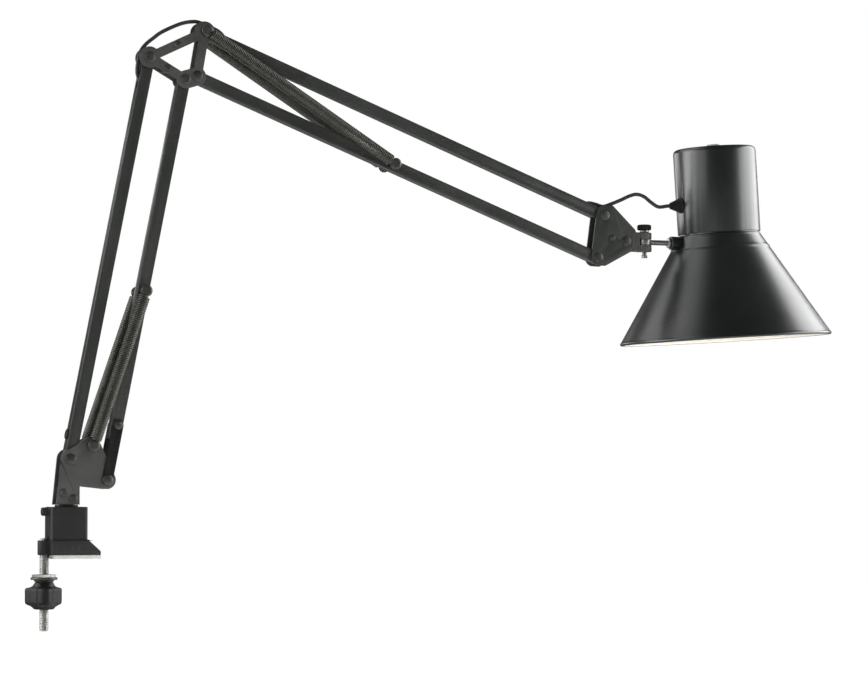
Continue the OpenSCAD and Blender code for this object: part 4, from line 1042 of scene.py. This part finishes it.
@dataclass
class Shade:
    """Spun cone shade with its neck cover, lampholder, bulb, gland and push button."""

    lean: float = 3.6
    reach: float = 74.6 * MM
    rise: float = 7.8 * MM
    neck_r: float = 37 * MM
    neck_h: float = 79 * MM
    rim_r: float = 94.5 * MM
    cone_h: float = 92 * MM
    wall: float = 1.2 * MM
    seam_play: float = 0.05 * MM
    bead_r: float = 1.6 * MM
    ring_t: float = 0.7 * MM
    ring_at: float = 0.115
    ring_width: float = 0.0085
    collar_h: float = 14 * MM
    boss_rise: float = 3.3 * MM
    gland_z: float = 28.5 * MM
    gland_mouth: float = 46.9 * MM
    gland_tail: float = 32.3 * MM
    gland_ribs: int = 5
    gland_rib: float = 0.35 * MM
    gland_wide: float = 6.4 * MM
    gland_narrowing: float = 3.3 * MM
    bulb_top: float = 26 * MM
    bulb_h: float = 82 * MM
    globe_r: float = 29.9 * MM
    globe_rise: float = 30 * MM
    glass_neck_r: float = 13.0 * MM
    flank_pull: float = 14 * MM
    cap_r: float = 13.1 * MM
    cap_top: float = 47 * MM
    cap_pitch: float = 3.6 * MM
    cap_thread: float = 0.9 * MM
    button_r: float = 6.5 * MM
    button_rise: float = 3.4 * MM

    def place(self) -> Place:
        """The shade's own frame, whose Z is its axis and whose origin is at the top of the cone.

        Returns:
            The frame, leant by the shade's lean.
        """
        cosine, sine = math.cos(math.radians(self.lean)), math.sin(math.radians(self.lean))
        return Place(pivot("thumb_turn") + np.array([self.reach, 0, self.rise]),
                     np.array([[cosine, 0, sine], [0, 1.0, 0], [-sine, 0, cosine]]))

    def flank_r(self, t: np.ndarray) -> np.ndarray:
        """Outer radius of the cone, at a share t of the way down: neck + (rim - neck) t."""
        return self.neck_r + (self.rim_r - self.neck_r) * t

    def cone_outline(self) -> tuple[np.ndarray, int]:
        """Closed outline of the spun cone: collar, seam, raised ring, flank, rolled rim and inside.

        The flank has a ring raised as a bell curve round one share of its height, and the roll is a
        circle of the bead's radius.

        Returns:
            The outline, and the first of its rows that has the inside's colour.
        """
        collar = self.neck_r - self.wall - self.seam_play
        slant = self.wall * math.hypot(self.rim_r - self.neck_r, self.cone_h) / self.cone_h
        t = np.linspace(0, 0.985, 90)
        ring = self.ring_t * np.exp(-((t - self.ring_at) / self.ring_width) ** 2)
        flank = np.column_stack([self.flank_r(t) + ring, -self.cone_h * t])
        seam = np.array([[collar, self.collar_h], [collar, 1.2 * MM], [self.neck_r - 0.4 * MM, 1.0 * MM],
                         [self.neck_r, 0.3 * MM], flank[0]])
        top = eased(seam, 0.5 * MM, 4)
        a = np.radians(np.linspace(40, -205, 30))
        roll = np.column_stack([self.rim_r - self.bead_r + self.bead_r * np.cos(a),
                                -self.cone_h + self.bead_r * np.sin(a)])
        s = np.linspace(0.975, 0.02, 40)
        inside = np.column_stack([self.flank_r(s) - slant, -self.cone_h * s])
        back = np.array([[collar - self.wall, -0.2 * MM], [collar - self.wall, self.collar_h]])
        dark_roll = 20
        rows = np.vstack([top, flank[1:], roll, inside, back])
        return rows, len(top) + len(flank) - 1 + dark_roll

    def cone(self) -> bpy.types.Object:
        """The spun cone, painted dark outside and pale inside.

        Returns:
            The cone.
        """
        loop, inside_row = self.cone_outline()
        segments = 144
        piece = turned("shade_spun_cone", loop, self.place(), segments, ring=True)
        mesh = piece.data
        mesh.materials.append(SHADE_PAINT.material())
        mesh.materials.append(SHADE_INSIDE.material())
        row = np.arange(len(mesh.polygons)) // segments
        mesh.polygons.foreach_set("material_index", (row >= inside_row).astype(np.int32))
        return piece

    def boss(self) -> bpy.types.Object:
        """Turned boss that carries the shade on its stem, along X through the cone's flank.

        Returns:
            The boss.
        """
        stem = pivot("shade_roll")
        origin = self.place().origin
        level = stem[2] - origin[2]
        wall_x = origin[0] - self.flank_r(-(level - self.boss_rise) / self.cone_h)
        corners = np.array([[2.4, -5.5], [5.2, -5.5], [6.0, -4.7], [6.0, 9], [2.4, 9], [2.4, -5.5]]) * MM
        loop = eased(corners, 0.5 * MM)[:-1]
        place = Place(np.array([wall_x, 0, stem[2]]), np.array([[0, 1.0, 0], [0, 0, 1.0], [1.0, 0, 0]]))
        return turned("shade_stem_boss", loop, place, 48, ring=True)

    def bulb(self) -> bpy.types.Object:
        """Bulb glass: a globe, a flank that leaves it along its tangent, and a neck, turned.

        Returns:
            The bulb.
        """
        neck_top = self.bulb_top - 0.5 * MM
        globe_z = self.bulb_top - self.bulb_h + self.globe_rise
        a = np.radians(np.linspace(-90, 38, 60))
        globe = np.column_stack([self.globe_r * np.cos(a), globe_z + self.globe_r * np.sin(a)])
        foot = np.array([self.glass_neck_r, neck_top])
        t = np.linspace(0, 1, 20)[1:, None]
        bend = globe[-1] + np.array([-math.sin(a[-1]), math.cos(a[-1])]) * self.flank_pull
        flank = (1 - t) ** 2 * globe[-1] + 2 * t * (1 - t) * bend + t ** 2 * foot
        profile = np.vstack([globe, flank, [[0, neck_top]]])
        profile[:, 0] = np.maximum(profile[:, 0], 0)
        return turned("opal_bulb", profile, self.place(), 96)

    def cap(self) -> bpy.types.Object:
        """Screw cap: r = R - d (0.5 - 0.5 cos(2 pi z/p - a)), closed by a button contact.

        Returns:
            The cap.
        """
        a = angles(64)
        z = np.linspace(self.bulb_top, self.cap_top, 70)[:, None]
        thread = 0.5 - 0.5 * np.cos(2 * np.pi * z / self.cap_pitch - a)
        contact = np.array([[9, 47.2], [4.5, 48.2], [4.5, 49.6], [0, 50]]) * MM
        points = np.concatenate([around(0, a, np.array([[self.bulb_top]])),
                                 around(self.cap_r - self.cap_thread * thread, a, z),
                                 around(contact[:, :1], a, contact[:, 1:])])
        return mesh_piece("bulb_screw_cap", self.place().out(points), quads(len(points), len(a)))

    def gland(self) -> bpy.types.Object:
        """Flex gland on the neck: a flange and a ribbed taper, turned about the flex.

        Returns:
            The gland.
        """
        face = self.neck_r - 0.6 * MM
        t = np.linspace(0, 1, 60)
        ribs = self.gland_rib * (0.5 - 0.5 * np.cos(2 * np.pi * self.gland_ribs * t)) * (t < 0.999)
        flank = self.gland_wide - self.gland_narrowing * t
        taper = np.column_stack([flank - ribs, face + (1.6 + 8.9 * t) * MM])
        tail = self.gland_tail
        corners = np.array([[1.7 * MM, self.gland_mouth], [1.7 * MM, tail], [4.4 * MM, tail],
                            [4.4 * MM, face], [6.9 * MM, face], [6.9 * MM, face + 1.4 * MM]])
        loop = np.vstack([eased(corners, 0.3 * MM, 3), taper])
        own = self.place()
        place = Place(own.point(0, 0, self.gland_z), np.array([own.axes[2], [0, 1.0, 0], -own.axes[0]]))
        return turned("flex_ribbed_gland", loop, place, 48, ring=True)

    def button(self) -> bpy.types.Object:
        """Push button with a soft dished top, on the neck's axis.

        Returns:
            The button.
        """
        top, low = self.neck_h + self.button_rise, self.neck_h - 6 * MM
        t = np.linspace(0, 1, 12)
        dish = np.column_stack([5.4 * MM * t, top - 0.5 * MM * (1 - t ** 2)])
        side = np.array([[self.button_r - 0.4 * MM, top - 0.15 * MM], [self.button_r, top - 0.8 * MM],
                         [self.button_r, low], [0, low]])
        return turned("push_button", np.vstack([dish, eased(side, 0.4 * MM, 5)]), self.place(), 64)

    def build(self) -> None:
        """Makes and dresses the shade's pieces."""
        settle(self.cone(), "shade", SHADE_PAINT, "shade_cone")
        settle(self.boss(), "shade", SHADE_PAINT, "shade_cone")
        refine("neck_cover", "neck_vented_cover", 0.35 * MM, "shade", SHADE_PAINT)
        refine("lampholder", "porcelain_lampholder", 0.8 * MM, "shade", PORCELAIN)
        settle(self.bulb(), "shade", OPAL_GLASS, "bulb_glass")
        settle(self.cap(), "shade", BRASS, "bulb_cap")
        settle(self.gland(), "shade", BLACK_PLASTIC, "flex_gland")
        dress("switch_body", BLACK_PLASTIC)
        settle(self.button(), "switch_button", PALE_PLASTIC, "switch_button")


@dataclass
class Flex:
    """The flex in the bars, over the elbow and to the shade, made of runs cut where they pass the pivots.

    Places along a bar and heights over it are in plain millimetres. The loops are pairs of a share of
    the way between their ends and a share of the loop's rise.
    """

    radius: float = 1.6 * MM
    inset: float = 34.0
    gap: float = 0.3
    entry_at: float = 20.0
    entry_bend: float = 3.6
    entry_top: float = 6.2
    climb: tuple[tuple[float, float], ...] = ((30, 0.1), (25, 1.2), (20, 3.6), (15, 6.2), (9, 7.4))
    elbow_rise: float = 15 * MM
    elbow_loop: tuple[tuple[float, float], ...] = (
        (-0.1, 0.355), (-0.02, 0.6), (0.094, 0.77), (0.227, 0.88), (0.366, 0.98), (0.574, 1),
        (0.757, 0.96), (0.915, 0.82), (1.03, 0.59))
    elbow_cuts: tuple[int, ...] = (40, 90, 125, 170)
    head_rise: float = 20.4 * MM
    head_loop: tuple[tuple[float, float], ...] = (
        (0.016, 0.42), (0.14, 0.54), (0.283, 0.72), (0.424, 0.92), (0.534, 1), (0.644, 0.91),
        (0.753, 0.67), (0.863, 0.49))
    head_cuts: tuple[int, ...] = (40, 70, 85, 105)
    neck_start: float = 1.0
    neck_bend: float = 5.0
    neck_climb: float = 6.0
    neck_end: float = -20.0

    def rear(self, back: float, rise: float) -> np.ndarray:
        """A point over the rear bar, back from its upper pivot, in millimetres."""
        place = along(pivot("elbow_turn"), pivot("lower_arm"))
        return place.point(back * MM, 0, -rise * MM)

    def top(self, ahead: float, rise: float) -> np.ndarray:
        """A point over the top bar, ahead of its elbow pivot, in millimetres."""
        return along(pivot("upper_arm"), pivot("head_bracket_turn")).point(ahead * MM, 0, rise * MM)

    def smooth(self, knots: np.ndarray, steps: int = 10) -> np.ndarray:
        """A curve through the knots, by the cubic whose slope at a knot is half its neighbours' gap.

        Args:
            knots: points, one to a row.
            steps: points for each stretch between knots.

        Returns:
            Points on the curve.
        """
        padded = np.vstack([2 * knots[0] - knots[1], knots, 2 * knots[-1] - knots[-2]])
        a, b, c, d = (padded[k:k + len(knots) - 1, None] for k in range(4))
        t = np.linspace(0, 1, steps, endpoint=False)[None, :, None]
        curve = 0.5 * (2 * b + (c - a) * t + (2 * a - 5 * b + 4 * c - d) * t ** 2
                       + (3 * b - a - 3 * c + d) * t ** 3)
        return np.vstack([curve.reshape(-1, 3), knots[-1:]])

    def quarter(self, centre: tuple[float, float], radius: float, start: float,
                end: float) -> list[tuple[float, float]]:
        """Points of a quarter turn, centre + radius (cos a, sin a).

        Args:
            centre: middle of the turn, in millimetres.
            radius: of the turn, in millimetres.
            start: first angle, in degrees.
            end: last angle, in degrees.

        Returns:
            The turn's points in order, in millimetres.
        """
        a = np.radians(np.linspace(start, end, 13))
        return list(zip(centre[0] + radius * np.cos(a), centre[1] + radius * np.sin(a)))

    def run(self, name: str, path: np.ndarray) -> bpy.types.Object:
        """One round run of flex.

        Args:
            name: the piece's name.
            path: its middle line.

        Returns:
            The run.
        """
        piece = swept(name, path, self.radius, 16, np.tile([0, 1.0, 0], (len(path), 1)))
        piece.data.materials.append(FLEX_COVER.material())
        return piece

    def held(self, name: str, path: np.ndarray, body: str, node: str) -> None:
        """A run that lies still in one body.

        Args:
            name: the piece's name.
            path: its middle line.
            body: the body that it rides on.
            node: the CAD node that it stands for.
        """
        piece = self.run(name, path)
        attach(piece, body)
        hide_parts(node)
        LOG.info("%s rides on %s", name, body)

    def bending(self, name: str, path: np.ndarray, bodies: tuple[str, str], node: str) -> None:
        """A run between one body at its start and the next at its end, left in the lamp's frame on no body.

        Args:
            name: the piece's name.
            path: its middle line.
            bodies: the body at its start and the one at its end.
            node: the CAD node that it stands for.
        """
        piece = self.run(name, path)
        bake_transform(piece)
        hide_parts(node)
        LOG.info("%s bends between %s and %s", name, *bodies)

    def build(self, shade: Shade) -> None:
        """Makes every run of the flex.

        Args:
            shade: the shade that the flex goes into.
        """
        arm = float(np.linalg.norm(pivot("elbow_turn") - pivot("lower_arm"))) / MM
        reach = float(np.linalg.norm(pivot("head_bracket_turn") - pivot("upper_arm"))) / MM
        mouth = self.inset + self.gap
        turn = self.quarter((self.entry_at + self.entry_bend, self.entry_bend), self.entry_bend, 180, 270)
        entry = [self.rear(arm - self.entry_at, self.entry_top)] + [self.rear(arm - x, z) for x, z in turn]
        self.held("flex_in_rear_bar", np.array(entry + [self.rear(mouth, 0)]), "rear_bar", "flex_lower")
        self.over_elbow()
        inside = np.linspace(self.top(mouth, 0), self.top(reach - mouth, 0), 20)
        self.held("flex_in_top_bar", inside, "top_bar", "flex_upper")
        self.over_head(shade, reach)
        self.in_neck(shade)

    def over_elbow(self) -> None:
        """The loop over the elbow: one run passes over the rear pivot and one over the top pivot."""
        rear, top = pivot("elbow_turn"), pivot("upper_arm")
        between = along(rear, top)
        span = float(np.linalg.norm(top - rear))
        knots = [self.rear(self.inset, 0)]
        knots += [self.rear(back, rise) for back, rise in self.climb]
        knots += [between.point(share * span, 0, rise * self.elbow_rise) for share, rise in self.elbow_loop]
        knots += [self.top(ahead, rise) for ahead, rise in reversed(self.climb)]
        knots += [self.top(self.inset, 0)]
        path = self.smooth(np.array(knots))
        out, over_rear, over_top, back_in = self.elbow_cuts
        self.held("flex_out_of_rear_bar", path[:out + 1], "rear_bar", "flex_elbow")
        self.bending("flex_over_rear_pivot", path[out:over_rear + 1], ("rear_bar", "elbow"), "flex_elbow")
        self.held("flex_over_elbow", path[over_rear:over_top + 1], "elbow", "flex_elbow")
        self.bending("flex_over_top_pivot", path[over_top:back_in + 1], ("elbow", "top_bar"), "flex_elbow")
        self.held("flex_into_top_bar", path[back_in:], "top_bar", "flex_elbow")

    def over_head(self, shade: Shade, reach: float) -> None:
        """The loop from the top bar to the gland: one run passes over each joint of the head in turn.

        Args:
            shade: the shade that the flex goes into.
            reach: length of the top bar between its pivots, in millimetres.
        """
        head = pivot("head_bracket_turn")
        own = shade.place()
        mouth = own.point(-shade.gland_mouth, 0, shade.gland_z)
        last = own.point(-shade.gland_mouth - 2 * self.radius, 0, shade.gland_z)
        width = last[0] - head[0]
        knots = [self.top(reach - self.inset, 0)]
        knots += [self.top(reach - back, rise) for back, rise in self.climb]
        loop = np.array(self.head_loop) * np.array([width, self.head_rise])
        knots += [head + np.array([ahead, 0, rise]) for ahead, rise in loop]
        knots += [last, mouth]
        path = self.smooth(np.array(knots))
        cuts = [*self.head_cuts, len(path) - 1]
        self.held("flex_out_of_top_bar", path[:cuts[0] + 1], "top_bar", "flex_head")
        chain = ["top_bar", "head_bracket", "knuckle", "stem", "shade"]
        names = ["flex_over_head_pivot", "flex_over_tilt", "flex_over_swivel", "flex_to_shade"]
        for k, name in enumerate(names):
            part = path[cuts[k]:cuts[k + 1] + 1]
            self.bending(name, part, (chain[k], chain[k + 1]), "flex_head")

    def in_neck(self, shade: Shade) -> None:
        """The run through the gland, up inside the neck and to the lampholder.

        Args:
            shade: the shade that the flex goes into.
        """
        level, bend = shade.gland_z / MM, self.neck_bend
        low = (self.neck_start - shade.gland_tail / MM, level + bend)
        high = (low[0] + 2 * bend, low[1] + self.neck_climb)
        route = [(self.gap - shade.gland_mouth / MM, level)] + self.quarter(low, bend, -90, 0)
        route += self.quarter(high, bend, 180, 90) + [(self.neck_end, high[1] + bend)]
        own = shade.place()
        path = np.array([own.point(x * MM, 0, z * MM) for x, z in route])
        self.held("flex_in_neck", path, "shade", "flex_neck")


# Studio


@dataclass
class Studio:
    """Pale floor, soft lamps, white surroundings and the camera."""

    floor_z: float = -0.45
    floor_half: float = 12.0
    camera_at: tuple[float, float, float] = (-0.6822, -2.5083, 0.060)
    camera_turn: float = -21.890
    camera_rise: float = 2.471
    focal_pixels: float = 3137.6
    image_width: float = 868.0
    sensor_width: float = 36.0
    far_clip: float = 50.0
    world_level: float = 0.08

    def camera(self) -> None:
        """Camera at the photograph's distance and angle."""
        data = bpy.data.cameras.new("studio_camera")
        data.sensor_width = self.sensor_width
        data.lens = self.focal_pixels / self.image_width * data.sensor_width
        data.clip_end = self.far_clip
        made = linked("studio_camera", data)
        made.location = self.camera_at
        made.rotation_euler = (math.radians(90 + self.camera_rise), 0, math.radians(self.camera_turn))
        bpy.context.scene.camera = made

    def seen(self, n: Nodes) -> bpy.types.NodeSocket:
        """1 for rays from the camera and through glass, and 0 for the rest."""
        path = n.add("LightPath").outputs
        return n.maths("MAXIMUM", path["Is Camera Ray"], path["Is Transmission Ray"])

    def floor(self) -> None:
        """Wide pale floor that shows white and still takes a soft shadow."""
        half, level = self.floor_half, self.floor_z
        corners = [(-half, -half, level), (half, -half, level), (half, half, level), (-half, half, level)]
        mesh = bpy.data.meshes.new("studio_floor")
        mesh.from_pydata(corners, [], [(0, 1, 2, 3)])
        made = linked("studio_floor", mesh)
        material = bpy.data.materials.new("pale floor")
        material.use_nodes = True
        n = Nodes(material.node_tree)
        n.tree.nodes.clear()
        lit = n.add("BsdfDiffuse", {"Color": (0.9, 0.9, 0.9, 1)})
        glow = n.add("Emission", {"Color": (1, 1, 1, 1), "Strength": self.seen(n)})
        total = n.add("AddShader", {0: lit.outputs[0], 1: glow.outputs[0]})
        n.add("OutputMaterial", {"Surface": total.outputs[0]})
        mesh.materials.append(material)

    def surroundings(self) -> None:
        """White world: full white to the camera, and a soft low level for the rest."""
        world = bpy.data.worlds.new("white surroundings")
        bpy.context.scene.world = world
        world.use_nodes = True
        n = Nodes(world.node_tree)
        n.tree.nodes.clear()
        strength = n.add("MapRange", {"Value": self.seen(n), "To Min": self.world_level, "To Max": 1.0})
        back = n.add("Background", {"Color": (1, 1, 1, 1), "Strength": strength.outputs[0]})
        n.add("OutputWorld", {"Surface": back.outputs[0]})

    def lamp(self, name: str, at: tuple[float, float, float], aim: tuple[float, float, float],
             size: tuple[float, float], power: float, mirrored: bool = True,
             scattered: bool = True) -> None:
        """A rectangular area light that faces a point.

        Args:
            name: of the light.
            at: its place.
            aim: the point that it faces.
            size: its width and height.
            power: in watts.
            mirrored: whether glossy surfaces reflect it.
            scattered: whether dull surfaces take its light.
        """
        data = bpy.data.lights.new(name, "AREA")
        data.shape = "RECTANGLE"
        data.size, data.size_y = size
        data.energy = power
        made = linked(name, data)
        made.location = at
        toward = Vector(aim) - Vector(at)
        made.rotation_euler = toward.to_track_quat("-Z", "Y").to_euler()
        made.visible_camera = False
        made.visible_glossy = mirrored
        made.visible_diffuse = scattered

    def build(self) -> None:
        """Sets up the whole studio."""
        bpy.context.scene.view_settings.view_transform = "Standard"
        self.camera()
        self.floor()
        self.surroundings()
        middle, head = (0.25, 0, 0.25), (0.62, 0, 0.2)
        self.lamp("front_softbox", (-0.6, -2.1, 0.3), (0.1, 0, 0.2), (1.1, 1.1), 18, mirrored=False)
        self.lamp("key_softbox", (1.2, -1.5, 1.7), middle, (1.2, 1.2), 16, mirrored=False)
        self.lamp("low_softbox", (0.5, -0.7, -0.38), head, (0.9, 0.5), 8, mirrored=False)
        self.lamp("left_softbox", (-1.35, 0.45, 0.5), head, (1.4, 1.2), 30, scattered=False)
        self.lamp("left_front_softbox", (-1.2, -0.75, 0.45), head, (1.1, 1.0), 6, scattered=False)
        self.lamp("left_back_softbox", (0.2, 1.1, 0.4), head, (0.6, 0.3), 1.6, scattered=False)
        self.lamp("high_softbox", (-0.4, 0.65, 1.5), head, (1.6, 1.4), 11)
        self.lamp("right_softbox", (2.2, 0.05, 0.7), head, (1.8, 1.6), 52)
        self.lamp("right_front_softbox", (1.74, -0.84, 0.36), head, (0.5, 0.8), 6, scattered=False)


def main() -> None:
    """Builds the studio and every sub-assembly in order."""
    logging.basicConfig(level=logging.INFO, format="%(name)s: %(message)s")
    Studio().build()
    springs = Springs()
    Clamp().build()
    BaseBracket().build(springs)
    Arms().build(springs)
    Elbow().build(springs)
    springs.build()
    Head().build()
    shade = Shade()
    shade.build()
    Flex().build(shade)


if __name__ == "__main__":
    main()
